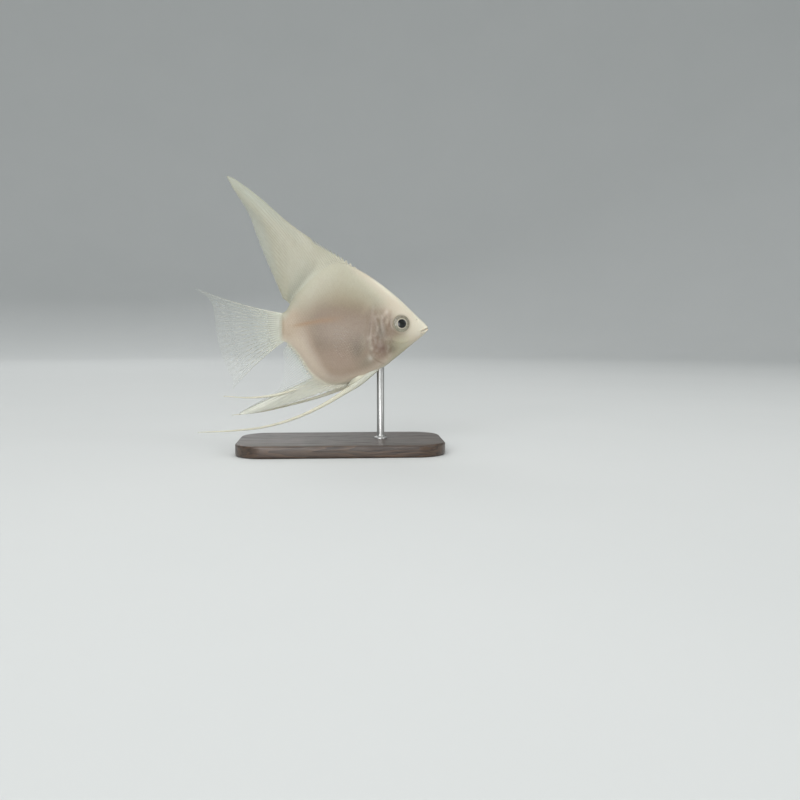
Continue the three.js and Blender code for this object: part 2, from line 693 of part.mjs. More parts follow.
const fish = new THREE.Group();
fish.position.set(FISH_SHIFT_X, 0, AXIS_HEIGHT);
fish.add(
  meshOf('head', headSolid(), headSkin),
  meshOf('trunk', trunkSolid(), flesh),
  meshOf('tail_stalk', tailStalkSolid(), flesh),
  meshOf('dorsal_fin', dorsalFin(), finSkin),
  meshOf('anal_fin', analFin(), finSkin),
  meshOf('caudal_fin', caudalFin(), finSkin),
);
for (const [name, side, filament] of [['left', 1, PELVIC.filamentFar], ['right', -1, PELVIC.filament]]) {
  fish.add(
    meshOf(`eye_${name}`, eyeball(side, 0), eyeSurface),
    meshOf(`pelvic_fin_${name}`, pelvicFin(side, filament), filamentSkin),
    meshOf(`pectoral_fin_${name}`, pectoralFin(side), finSkin),
  );
}
fish.add(meshOf('stand_rod', standRod(), rodFinish));

const model = new THREE.Group();
model.add(fish, meshOf('stand_base', standBase(), baseFinish));

export default model;
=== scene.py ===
"""A freshwater angelfish, life size, on a display stand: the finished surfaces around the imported
solids.

Shapes are worked out in millimetres from the middle of the fish's axis, +X to the snout, +Y to its left
and +Z up. place() carries them into the frame, in metres. Each surface is a function of two parameters
on a grid, or a section carried along a path. Every point carries a tint, whose fourth value says how
solid the surface is there.
"""

import bpy
import numpy as np
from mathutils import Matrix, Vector


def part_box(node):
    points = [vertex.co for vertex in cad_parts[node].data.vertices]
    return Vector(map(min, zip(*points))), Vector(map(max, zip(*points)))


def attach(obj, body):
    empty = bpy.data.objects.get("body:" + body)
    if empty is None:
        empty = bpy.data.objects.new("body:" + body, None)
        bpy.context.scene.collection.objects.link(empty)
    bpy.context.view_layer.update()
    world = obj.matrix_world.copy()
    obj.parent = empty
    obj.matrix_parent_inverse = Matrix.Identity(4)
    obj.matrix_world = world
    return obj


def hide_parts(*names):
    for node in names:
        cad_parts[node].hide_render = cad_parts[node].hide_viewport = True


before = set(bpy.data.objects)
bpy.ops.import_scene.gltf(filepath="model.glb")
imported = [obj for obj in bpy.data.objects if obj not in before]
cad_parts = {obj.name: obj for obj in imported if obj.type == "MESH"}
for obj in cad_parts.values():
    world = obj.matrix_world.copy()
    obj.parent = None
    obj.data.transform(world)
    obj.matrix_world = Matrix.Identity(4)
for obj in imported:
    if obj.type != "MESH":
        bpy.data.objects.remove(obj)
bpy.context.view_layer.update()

# ---------------------------------------------------------------- sizes, as the solids have them

MM = 0.001
SNOUT_X, STALK_END_X = 30.0, -30.0

# Outlines of the body without its fins, as [x, z].
BACK = [
    [-30, 5.6], [-27.8, 6.9], [-25.4, 11.2], [-22.6, 15.3], [-17.4, 21.4], [-11.5, 25.3], [-5, 26.1],
    [2.9, 22.6], [10.3, 17.8], [18.5, 11.2], [26.7, 3.4], [30, 0.5],
]
BELLY = [
    [-30, -5.7], [-28.2, -6.1], [-25.6, -8.2], [-22.6, -12.0], [-18, -19.0], [-13, -22.8], [-6.2, -23.5],
    [2.9, -21.1], [10.3, -17.4], [18.5, -11.1], [24.7, -6.0], [28.4, -3.0], [30, -1.7],
]
HALF_WIDTH = [
    [-30, 1.25], [-27, 1.8], [-20, 3.4], [-12, 4.9], [-4, 5.7], [4, 5.9], [11, 5.8], [17, 5.3],
    [21, 4.6], [25, 3.3], [28, 2.1], [30, 1.5],
]
WIDEST_Z = [[-30, 0], [-20, -0.6], [-8, -2], [4, -2.4], [14, -1], [20, 0.4], [26, -0.6], [30, -0.6]]
BACK_KEEL = [[-30, 1], [-24, 1.2], [-10, 1.45], [4, 1.3], [12, 1.05], [20, 0.9], [30, 0.85]]
BELLY_KEEL = [[-30, 1], [-22, 1.3], [-10, 1.3], [2, 1.05], [12, 1.05], [20, 1], [30, 0.9]]
SNOUT_ROUND = 1.7
CAUDAL_ROOT_X, TAIL_TOP, TAIL_FOOT, CAUDAL_RAYS = -28.8, 5.5, -5.6, 18
CAUDAL_LEAN = [[0, 172], [0.5, 186], [1, 214]]  # the rays' directions at the root, in degrees
STALK_ROUND = 2.4  # length over which the stalk's end thins into the tail fin

GILL_MARGIN = [
    [30, 6.2], [20, 7.4], [12, 8.2], [6, 7.0], [0, 5.8], [-5, 5.5], [-9, 5.9], [-12, 7.2], [-14, 9.8],
    [-15.4, 13.6], [-17, 19.5],
]
GILL_TOP_Z = 7.5  # where the gill opening starts
EYE_X, EYE_Z, EYE_RADIUS, EYE_DEPTH, EYE_BULGE = 18.75, 1.45, 3.75, 1.6, 0.95
PUPIL_RADIUS, RING_RADIUS = 1.82, 2.1
ORBIT_RADIUS, SOCKET_EDGE, SOCKET_WALL = 3.85, 3.50, 3.18
CHEEK_RADIUS, CHEEK_BEARING = 7.4, 215  # the bearing of its middle from the eye, in degrees
GILL_BONE = (8.2, 4.6), (11.6, -8.4)  # a faint ridge down the gill cover
JAW_FOLD_END = (25.8, -4.1)  # where the fold from the mouth's corner ends
MOUTH_FRONT, MOUTH_CORNER = (31, 0.15), (27.1, -1.75)
NOSTRIL_X, NOSTRIL_Z = 25.1, 3.0
ROOT_DEPTH, DORSAL_DEPTH, ANAL_DEPTH = 1.3, 3.0, 2.2  # how deep the fins are rooted
LAMP_SHARE = 0.86  # by which colours are taken down

# The fish's own origin in the frame, from its right eye and its tail stalk.
eye_low, eye_high = np.array(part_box("eye_right")) / MM
stalk_low = np.array(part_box("tail_stalk"))[0] / MM
FISH_AT = np.array([stalk_low[0] - STALK_END_X, 0.0, (eye_low[2] + eye_high[2]) / 2 - EYE_Z])


def place(points):
    """Fish millimetres to frame metres: the fish's origin is added and the sum scaled."""
    return (np.asarray(points, float) + FISH_AT) * MM


# ---------------------------------------------------------------- curves and fields

def mix(a, b, t):
    """From a to b by the share t."""
    return a + (b - a) * t


def lay(under, over, share):
    """A colour laid over another, by a share given for each place."""
    return under + (over - under) * np.asarray(share)[..., None]


def circle(count):
    """Even bearings round a circle, from 0."""
    return np.linspace(0, 2 * np.pi, count, endpoint=False)


def smooth_step(low, high, value):
    """0 below low, 1 above high, and 3t^2 - 2t^3 between."""
    t = np.clip((value - low) / (high - low), 0, 1)
    return t * t * (3 - 2 * t)


def bell(distance, width):
    """exp of minus the square of distance over width."""
    return np.exp(-((distance / width) ** 2))


def curve_through(rows):
    """A smooth curve through rows of [t, value, ...]: a cubic from row to row, whose slope at each row
    is that of the line through its two neighbours."""
    rows = np.asarray(rows, float)
    ts, values = rows[:, 0], rows[:, 1:]
    order = np.arange(len(ts))
    before, after = np.maximum(order - 1, 0), np.minimum(order + 1, len(ts) - 1)
    slopes = (values[after] - values[before]) / (ts[after] - ts[before])[:, None]

    def curve(t):
        t = np.asarray(t, float)
        i = np.clip(np.searchsorted(ts, t) - 1, 0, len(ts) - 2)
        span = (ts[i + 1] - ts[i])[..., None]
        u = np.clip((t - ts[i])[..., None] / span, 0, 1)
        return (
            (2 * u**3 - 3 * u**2 + 1) * values[i] + (u**3 - 2 * u**2 + u) * span * slopes[i]
            + (3 * u**2 - 2 * u**3) * values[i + 1] + (u**3 - u**2) * span * slopes[i + 1]
        )

    return curve


def line_through(rows):
    """The same curve for one value, with the rows in any order."""
    curve = curve_through(sorted(rows))
    return lambda t: curve(t)[..., 0]


def waviness(t, seed, octaves=4):
    """A smooth random wave of t between about -1 and 1: sines of doubling pitch and falling height."""
    rng = np.random.default_rng(seed)
    phases = rng.uniform(0, 2 * np.pi, octaves)
    total = sum(np.sin(2**k * t + phases[k]) / 1.6**k for k in range(octaves))
    return total / 2


def distance_to_segment(x, z, start, end):
    """Distance in side view from points to the segment between start and end."""
    (ax, az), (bx, bz) = start, end
    t = np.clip(((x - ax) * (bx - ax) + (z - az) * (bz - az)) / ((bx - ax) ** 2 + (bz - az) ** 2), 0, 1)
    return np.hypot(x - mix(ax, bx, t), z - mix(az, bz, t))


def run_along(points):
    """The length along a row of points, from 0 at the first."""
    return np.concatenate([[0], np.cumsum(np.linalg.norm(np.diff(points, axis=0), axis=-1))])


def slope_at(outline, x):
    """How steeply an outline rises at a station."""
    return (outline(x + 0.05) - outline(x - 0.05)) / 0.1


def on_body(x):
    """A station held between the tail stalk's end and the snout's tip."""
    return np.clip(x, STALK_END_X, SNOUT_X)


back_z, belly_z = line_through(BACK), line_through(BELLY)
half_width, widest_z = line_through(HALF_WIDTH), line_through(WIDEST_Z)
back_keel, belly_keel = line_through(BACK_KEEL), line_through(BELLY_KEEL)
gill_margin_x, caudal_lean = line_through(GILL_MARGIN), line_through(CAUDAL_LEAN)


def linear(red, green, blue):
    """A colour given in 0 to 255 as painters' charts have it, as the renderer's linear red, green and
    blue, taken down by the share by which the stage's lamps bring it up."""
    c = np.array([red, green, blue]) / 255
    return LAMP_SHARE * np.where(c <= 0.04045, c / 12.92, ((c + 0.055) / 1.055) ** 2.4)


# ---------------------------------------------------------------- mesh making

class Patch:
    """Points, their tints and map places, and the faces over them."""

    def __init__(self, points, quads=(), triangles=(), tint=(1, 1, 1, 1), uv=(0, 0), bake=None):
        self.points = np.asarray(points, float).reshape(-1, 3)
        count = len(self.points)
        self.quads = np.asarray(quads, int).reshape(-1, 4)
        self.triangles = np.asarray(triangles, int).reshape(-1, 3)
        self.tint = np.broadcast_to(np.asarray(tint, float), (count, 4))
        self.uv = np.broadcast_to(np.asarray(uv, float), (count, 2))
        self.bake = bake

    def outward(self):
        """The patch with its faces turned if the volume that they enclose comes out negative."""
        corners = np.concatenate([self.triangles, self.quads[:, [0, 1, 2]], self.quads[:, [0, 2, 3]]])
        a, b, c = (self.points[corners[:, k]] for k in range(3))
        if np.einsum("ij,ij->", a, np.cross(b, c)) < 0:
            self.quads, self.triangles = self.quads[:, ::-1], self.triangles[:, ::-1]
        return self


def joined(patches):
    """One patch of many, with each patch's faces counted on from the points before it."""
    starts = np.cumsum([0] + [len(p.points) for p in patches])
    return Patch(
        np.concatenate([p.points for p in patches]),
        np.concatenate([p.quads + n for p, n in zip(patches, starts)]),
        np.concatenate([p.triangles + n for p, n in zip(patches, starts)]),
        np.concatenate([p.tint for p in patches]),
        np.concatenate([p.uv for p in patches]),
    )


def tube_patch(rings, tint=(1, 1, 1, 1), uv=(0, 0)):
    """A skin over rings of points, an array of ring, place and x y z, closed round each ring and by a
    fan of triangles over the first and the last."""
    stations, around = rings.shape[:2]
    index = np.arange(stations * around).reshape(stations, around)
    onward = np.roll(index, -1, axis=1)
    quads = np.stack([index[:-1], onward[:-1], onward[1:], index[1:]], axis=-1)
    poles = stations * around + np.arange(2)
    fans = [
        np.stack([onward[row], index[row], np.full(around, pole)], axis=-1)[:, ::turn]
        for row, pole, turn in ((0, poles[0], 1), (-1, poles[1], -1))
    ]
    with_poles = lambda values: np.concatenate(
        [values.reshape(-1, values.shape[-1]), values[[0, -1]].mean(axis=1)]
    )
    tint = np.broadcast_to(np.asarray(tint, float), (stations, around, 4))
    uv = np.broadcast_to(np.asarray(uv, float), (stations, around, 2))
    return Patch(with_poles(rings), quads, np.concatenate(fans), with_poles(tint), with_poles(uv)).outward()


def sheet_patch(middle, normal, half, tint, uv):
    """A closed thin sheet: the grid of middle points is carried half a thickness along the normal to
    either side, and the two faces are joined round the rim."""
    columns, rows = middle.shape[:2]
    index = np.arange(columns * rows).reshape(columns, rows)
    other = index + columns * rows
    rim = np.concatenate([index[:-1, 0], index[-1, :-1], index[:0:-1, -1], index[0, :0:-1]])
    cells = lambda grid: np.stack([grid[:-1, :-1], grid[1:, :-1], grid[1:, 1:], grid[:-1, 1:]], axis=-1)
    onward = np.roll(rim, -1)
    wall = np.stack([onward, rim, rim + columns * rows, onward + columns * rows], axis=-1)
    quads = np.concatenate([cells(index).reshape(-1, 4), cells(other).reshape(-1, 4)[:, ::-1], wall])
    offset = half[..., None] * normal
    points = np.concatenate([(middle + offset).reshape(-1, 3), (middle - offset).reshape(-1, 3)])
    both = lambda values: np.tile(values.reshape(-1, values.shape[-1]), (2, 1))
    return Patch(points, quads, (), both(tint), both(uv)).outward()


def make_piece(name, patch, material, replaces=()):
    """A mesh object from a patch in fish millimetres, riding on the model's one body."""
    mesh = bpy.data.meshes.new(name)
    loops = np.concatenate([patch.quads.ravel(), patch.triangles.ravel()])
    counts = np.concatenate([np.full(len(patch.quads), 4), np.full(len(patch.triangles), 3)])
    mesh.vertices.add(len(patch.points))
    mesh.vertices.foreach_set("co", place(patch.points).ravel())
    mesh.loops.add(len(loops))
    mesh.loops.foreach_set("vertex_index", loops)
    mesh.polygons.add(len(counts))
    mesh.polygons.foreach_set("loop_start", np.cumsum(counts) - counts)
    mesh.update(calc_edges=True)
    tint = mesh.attributes.new("tint", "FLOAT_COLOR", "POINT")
    tint.data.foreach_set("color", patch.tint.ravel())
    uv = mesh.uv_layers.new(name="along")
    uv.data.foreach_set("uv", patch.uv[loops].ravel())
    if patch.bake is not None:
        bake = mesh.uv_layers.new(name="OFBake")
        bake.data.foreach_set("uv", patch.bake[loops].ravel())
    mesh.polygons.foreach_set("use_smooth", np.full(len(counts), True))
    mesh.materials.append(material)
    piece = bpy.data.objects.new(name, mesh)
    bpy.context.scene.collection.objects.link(piece)
    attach(piece, "root")
    if replaces:
        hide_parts(*replaces)


# ---------------------------------------------------------------- materials

class Nodes:
    """A short way to write a material's node tree."""

    def __init__(self, name):
        self.material = bpy.data.materials.new(name)
        self.material.use_nodes = True
        self.tree = self.material.node_tree
        self.shader = self.tree.nodes["Principled BSDF"]

    def add(self, kind, **inputs):
        """A node of a kind. Inputs named by socket take a value or another node's output, other names
        are set on it."""
        node = self.tree.nodes.new(kind)
        for key, value in inputs.items():
            if hasattr(node, key) and key not in node.inputs:
                setattr(node, key, value)
            else:
                self.plug(node, key, value)
        return node

    def feed(self, socket, value):
        """A value, or another node's output, given to a socket."""
        if isinstance(value, bpy.types.NodeSocket):
            self.tree.links.new(value, socket)
        else:
            socket.default_value = value

    def plug(self, node, key, value):
        """The same for an input by its name, or by its number after an underscore."""
        self.feed(node.inputs[int(key[1:]) if key[0] == "_" else key.replace("_", " ")], value)

    def paint(self):
        """The tint that a piece's points carry."""
        return self.add("ShaderNodeAttribute", attribute_name="tint").outputs

    def math(self, operation, *values):
        named = {f"_{k}": value for k, value in enumerate(values)}
        return self.add("ShaderNodeMath", operation=operation, **named).outputs[0]

    def blend(self, kind, share, first, second):
        """Two colours mixed by share in a blend mode."""
        node = self.add("ShaderNodeMix", data_type="RGBA", blend_type=kind)
        for key, value in ((0, share), (6, first), (7, second)):
            self.feed(node.inputs[key], value)
        return node.outputs[2]

    def noise(self, scale, detail=3.0, roughness=0.5, stretch=(1, 1, 1), source="Object"):
        """Noise between 0 and 1 in the piece's own coordinates, with scale in waves a metre."""
        if source == "along":
            place_of = self.add("ShaderNodeUVMap", uv_map="along").outputs[0]
        else:
            place_of = self.add("ShaderNodeTexCoord").outputs["Object"]
        mapped = self.add("ShaderNodeMapping", Vector=place_of, Scale=stretch).outputs[0]
        return self.add(
            "ShaderNodeTexNoise", Vector=mapped, Scale=scale, Detail=detail, Roughness=roughness
        ).outputs["Fac"]

    def spread(self, value, low, high, new_low, new_high):
        """A value carried from one range to another and held inside it."""
        node = self.add("ShaderNodeMapRange", Value=value)
        for key, number in (("From Min", low), ("From Max", high), ("To Min", new_low), ("To Max", new_high)):
            node.inputs[key].default_value = number
        return node.outputs[0]

    def bump(self, height, distance, strength=1.0):
        self.plug(
            self.shader, "Normal",
            self.add("ShaderNodeBump", Height=height, Distance=distance, Strength=strength).outputs[0],
        )

    def set(self, **inputs):
        for key, value in inputs.items():
            self.plug(self.shader, key, value)


def skin_material(name, gloss, grain, deep):
    """Living skin: the painted tint, cloudy all over and blotched with red and pale flecks where its
    fourth value says, with a share of light let in deep and a wet coat."""
    n = Nodes(name)
    paint = n.paint()
    blotched = paint["Alpha"]
    clouds = n.spread(n.noise(170, 4, 0.6), 0.3, 0.7, 0.0, 1.0)
    flecks = n.spread(n.noise(1500, 3, 0.65), 0.35, 0.7, 0.0, 1.0)
    dark = n.spread(n.noise(430, 3, 0.5, stretch=(1.2, 1, 0.9)), 0.46, 0.66, 0.0, 0.45)
    light = n.spread(n.noise(420, 2, 0.5, stretch=(1.3, 1, 0.9)), 0.48, 0.7, 0.0, 0.22)
    colour = n.blend("MULTIPLY", n.math("MULTIPLY", clouds, 0.35), paint["Color"], (0.94, 0.88, 0.84, 1))
    colour = n.blend("MULTIPLY", n.math("MULTIPLY", dark, blotched), colour, (0.64, 0.53, 0.47, 1))
    colour = n.blend("SCREEN", n.math("MULTIPLY", light, blotched), colour, (0.34, 0.32, 0.28, 1))
    colour = n.blend("SCREEN", n.math("MULTIPLY", flecks, 0.04), colour, (0.75, 0.74, 0.66, 1))
    n.set(Base_Color=colour, Roughness=n.spread(flecks, 0, 1, gloss, gloss + 0.12))
    n.set(Subsurface_Weight=deep, Subsurface_Scale=0.0012, Subsurface_Radius=(1.0, 0.76, 0.6))
    n.set(Coat_Weight=0.15, Coat_Roughness=0.2, Specular_IOR_Level=0.35)
    n.bump(n.noise(2600, 3, 0.6), grain, 0.5)
    return n.material


def fin_material(name, gloss, streak):
    """Fin skin: tint and solidity from the surface, finely streaked along the rays, thin enough to let
    light in."""
    n = Nodes(name)
    paint = n.paint()
    streaks = n.noise(1.0, 3, 0.55, stretch=(6.0, 0.35, 1), source="along")
    fine = n.noise(1400, 3, 0.6)
    share = n.math("MULTIPLY", n.spread(streaks, 0.3, 0.7, 0, 1), streak)
    tint = n.blend("MULTIPLY", share, paint["Color"], (0.82, 0.84, 0.80, 1))
    tint = n.blend("SCREEN", n.math("MULTIPLY", fine, 0.12), tint, (0.6, 0.6, 0.55, 1))
    solid = n.math("MULTIPLY", paint["Alpha"], n.spread(streaks, 0.25, 0.75, 0.8, 1.12))
    n.set(Base_Color=tint, Alpha=n.math("MINIMUM", solid, 1.0))
    n.set(Roughness=n.spread(fine, 0.3, 0.7, gloss, gloss + 0.15))
    n.set(Subsurface_Weight=0.15, Subsurface_Scale=0.0008, Subsurface_Radius=(1.0, 0.8, 0.6))
    n.set(Coat_Weight=0.15, Coat_Roughness=0.25)
    n.bump(streaks, 0.00004, 0.4)
    return n.material


def ray_material(name):
    """Fin rays: whitish, jointed across at even steps, with the tint's solidity."""
    n = Nodes(name)
    paint = n.paint()
    place_of = n.add("ShaderNodeUVMap", uv_map="along").outputs[0]
    along = n.add("ShaderNodeSeparateXYZ", Vector=place_of).outputs[1]
    joint = n.math("PINGPONG", along, 0.35)
    ring = n.spread(joint, 0.0, 0.09, 0.0, 1.0)
    fine = n.noise(1800, 2, 0.6)
    tint = n.blend("MULTIPLY", n.math("SUBTRACT", 1.0, ring), paint["Color"], (0.8, 0.81, 0.76, 1))
    tint = n.blend("SCREEN", n.math("MULTIPLY", fine, 0.15), tint, (0.6, 0.6, 0.55, 1))
    n.set(Base_Color=tint, Alpha=paint["Alpha"], Roughness=n.spread(fine, 0.3, 0.7, 0.32, 0.45))
    n.set(Subsurface_Weight=0.15, Subsurface_Scale=0.0008, Subsurface_Radius=(1.0, 0.8, 0.6))
    n.bump(ring, 0.00002, 0.5)
    return n.material


def eye_material():
    """The eye's painted rings, with fine spokes and flecks in the iris, under a glassy coat."""
    n = Nodes("wet_eye")
    paint = n.paint()
    spokes = n.noise(1.0, 3, 0.6, stretch=(26, 2.2, 1), source="along")
    flecks = n.noise(3200, 2, 0.6)
    iris = paint["Alpha"]
    dark = n.math("MULTIPLY", n.spread(spokes, 0.35, 0.65, 0, 0.5), iris)
    tint = n.blend("MULTIPLY", dark, paint["Color"], (0.66, 0.66, 0.62, 1))
    light = n.math("MULTIPLY", n.spread(flecks, 0.5, 0.75, 0, 0.35), iris)
    tint = n.blend("SCREEN", light, tint, (0.55, 0.56, 0.52, 1))
    n.set(Base_Color=tint, Roughness=n.spread(flecks, 0.3, 0.7, 0.16, 0.28))
    n.set(Coat_Weight=0.38, Coat_Roughness=0.05, Coat_IOR=1.4, Specular_IOR_Level=0.3)
    n.bump(n.math("MULTIPLY", spokes, iris), 0.00002, 0.5)
    return n.material


def wood_material():
    """Dark stained hardwood: rings stretched along the board, with fine pores and a satin coat."""
    n = Nodes("dark_stained_wood")
    rings = n.spread(n.noise(42, 4, 0.55, stretch=(0.22, 1.6, 1.6)), 0.3, 0.7, 0, 1)
    wave = n.math("FRACT", n.math("MULTIPLY", rings, 6.0))
    grain = n.spread(wave, 0.0, 1.0, 0.0, 1.0)
    pores = n.spread(n.noise(900, 2, 0.7, stretch=(0.07, 1.0, 1.0)), 0.52, 0.68, 0, 1)
    tint = n.blend("MIX", grain, (0.030, 0.017, 0.010, 1), (0.075, 0.042, 0.024, 1))
    tint = n.blend("MULTIPLY", n.math("MULTIPLY", pores, 0.7), tint, (0.3, 0.26, 0.22, 1))
    n.set(Base_Color=tint, Roughness=n.spread(pores, 0, 1, 0.38, 0.6))
    n.set(Coat_Weight=0.35, Coat_Roughness=0.22)
    n.bump(n.math("SUBTRACT", 1.0, pores), 0.00006, 0.5)
    return n.material


def steel_material():
    """Brushed steel: fine turned lines round the rod."""
    n = Nodes("brushed_steel")
    lines = n.noise(2200, 2, 0.6, stretch=(0.04, 0.04, 1.0))
    smudge = n.noise(160, 3, 0.6)
    n.set(Base_Color=n.blend("MIX", smudge, (0.40, 0.40, 0.39, 1), (0.50, 0.50, 0.49, 1)), Metallic=1.0)
    n.set(Roughness=n.spread(lines, 0.3, 0.7, 0.36, 0.50))
    n.bump(lines, 0.00001, 0.4)
    return n.material


def backdrop_material():
    """Matt studio paper: a pale grey with the faintest clouding."""
    n = Nodes("studio_paper")
    cloud = n.noise(9, 3, 0.5)
    n.set(Base_Color=n.blend("MIX", cloud, (0.62, 0.635, 0.63, 1), (0.65, 0.66, 0.655, 1)), Roughness=0.9)
    n.set(Specular_IOR_Level=0.1)
    return n.material


# ---------------------------------------------------------------- body

def plain_skin(x, turn):
    """The body's plain surface at station x and turn round it, 0 at the belly's keel and pi at the
    back's. Height is the widest level plus minus cosine of turn times the reach to the back or the
    belly, and the side is the half width times the sine of turn raised to the keel's power. The reach
    shrinks on a circle at the snout, and the width at the stalk's end."""
    x, turn = np.broadcast_arrays(np.asarray(x, float), np.asarray(turn, float))
    to_tip = np.clip((x - (SNOUT_X - SNOUT_ROUND)) / SNOUT_ROUND, 0, 1)
    close = np.sqrt(np.maximum(0.0004, 1 - to_tip**2))
    to_end = np.clip((STALK_END_X + 1.6 - x) / STALK_ROUND, 0, 1)
    thin = mix(0.14, 1, (1 - to_end**2) ** 1.5)
    shrink = 1 - 0.10 * to_end**3
    along = on_body(x)
    middle, side = widest_z(along), np.sin(turn)
    rising = np.cos(turn) < 0
    reach = np.where(rising, back_z(along) - middle, middle - belly_z(along)) * close * shrink
    keel = np.where(rising, back_keel(along), belly_keel(along))
    width = half_width(along) * close * thin
    y = np.sign(side) * width * np.abs(side) ** keel
    return np.stack([x, y, middle - np.cos(turn) * reach], axis=-1)


def flank_y(x, z):
    """How far out the plain flank is at a place in side view: the plain surface solved for its turn by
    height."""
    middle = widest_z(x)
    rise = (z - middle) / np.where(z > middle, back_z(x) - middle, middle - belly_z(x))
    keel = np.where(rise > 0, back_keel(x), belly_keel(x))
    return half_width(x) * np.sqrt(np.maximum(0, 1 - rise**2)) ** keel


def head_relief(x, z):
    """How far the head's side stands out from the plain body, in millimetres: the orbit's rim and
    socket, the cheek's ridge, the gill cover's swelling, margin and groove, the lips and the cleft
    between them, and the nostril. Each is a bell or a smooth step of a distance in side view."""
    from_eye = np.hypot(x - EYE_X, z - EYE_Z)
    bearing = np.arctan2(z - EYE_Z, x - EYE_X)
    orbit = 0.13 * bell(from_eye - ORBIT_RADIUS, 0.35) - 1.5 * smooth_step(SOCKET_EDGE, SOCKET_WALL, from_eye)
    below = smooth_step(-0.15, 0.35, np.cos(bearing - np.radians(CHEEK_BEARING)))
    pouch = -0.06 * bell(from_eye - 4.65, 0.35) * below
    from_cheek = from_eye - CHEEK_RADIUS
    cheek = below * (0.20 * bell(from_cheek, 0.9) - 0.10 * bell(from_cheek - 1.15, 0.4))
    ahead = x - gill_margin_x(z)
    on_cover = smooth_step(GILL_TOP_Z + 2.5, GILL_TOP_Z - 1.5, z)
    swelling = 0.22 * smooth_step(6.0, 0.8, ahead) * smooth_step(-0.5, 0.4, ahead)
    cover = on_cover * (swelling - 0.07 * bell(ahead + 0.6, 0.45) - 0.07 * bell(ahead - 5.0, 0.6))
    bone = on_cover * 0.08 * bell(distance_to_segment(x, z, *GILL_BONE) - 0.2, 0.4)
    to_mouth = distance_to_segment(x, z, MOUTH_FRONT, MOUTH_CORNER)
    lips = 0.30 * bell(to_mouth - 0.62, 0.4) - 0.30 * bell(to_mouth, 0.2)
    fold = -0.10 * bell(distance_to_segment(x, z, MOUTH_CORNER, JAW_FOLD_END), 0.25)
    to_nostril = np.hypot(x - NOSTRIL_X, z - NOSTRIL_Z)
    nostril = 0.10 * bell(to_nostril - 0.52, 0.16) - 0.42 * smooth_step(0.45, 0.2, to_nostril)
    return orbit + pouch + cheek + cover + bone + lips + fold + nostril


def tail_relief(x, z):
    """Ridges over the roots of the tail fin's rays: a cosine of the ray's number at a place, found by
    following the ray's lean back to its root, and growing towards the stalk's end."""
    tall = TAIL_TOP - TAIL_FOOT
    across = (TAIL_TOP - z) / tall
    from_root = np.maximum(CAUDAL_ROOT_X - x, 0)
    across = (TAIL_TOP - z - np.tan(np.radians(caudal_lean(across))) * from_root) / tall
    return 0.07 * np.cos(2 * np.pi * across * (CAUDAL_RAYS - 1)) * smooth_step(CAUDAL_ROOT_X, -30.4, x)


def skin_at(x, turn, lift=0.0):
    """The finished skin: the plain surface carried along its normal by the head's and tail's relief and
    by lift."""
    step = 0.01
    here = plain_skin(x, turn)
    toward_tail = plain_skin(x - step, turn) - plain_skin(x + step, turn)
    upward = plain_skin(x, turn + step / 8) - plain_skin(x, turn - step / 8)
    normal = np.cross(toward_tail, upward)
    size = np.linalg.norm(normal, axis=-1, keepdims=True)
    normal = np.where(size > 1e-12, normal / np.maximum(size, 1e-12), [1.0, 0.0, 0.0])
    across, high = here[..., 1], here[..., 2] - widest_z(on_body(here[..., 0]))
    outward = normal[..., 1] * across + normal[..., 2] * high
    normal = normal * np.where(outward < 0, -1, 1)[..., None]
    relief = head_relief(here[..., 0], here[..., 2]) + tail_relief(here[..., 0], here[..., 2])
    relief = relief * np.abs(np.sin(turn)) ** 0.5
    return here + normal * (relief + lift)[..., None]


# Colours of the living fish, with a painted highlight for the crown's top edge.
SNOUT_CREAM = linear(211, 206, 188)
CROWN_CREAM = linear(204, 195, 177)
# a painted highlight: the crown's top edge made whiter where the light from above catches it
CROWN_PAINTED_HIGHLIGHT = linear(225, 222, 204)
NAPE_CREAM = linear(176, 173, 154)
DISC_UPPER = linear(141, 131, 107)
DISC_MIDDLE = linear(129, 112, 95)
DISC_LOWER = linear(157, 140, 122)
STALK_PINK = linear(176, 160, 139)
BELLY_RIM = linear(196, 182, 165)
BELLY_EDGE = linear(204, 201, 182)
STALK_WHITE = linear(190, 190, 175)
JAW_OLIVE = linear(183, 178, 152)
SPINE_RED = linear(150, 107, 62)
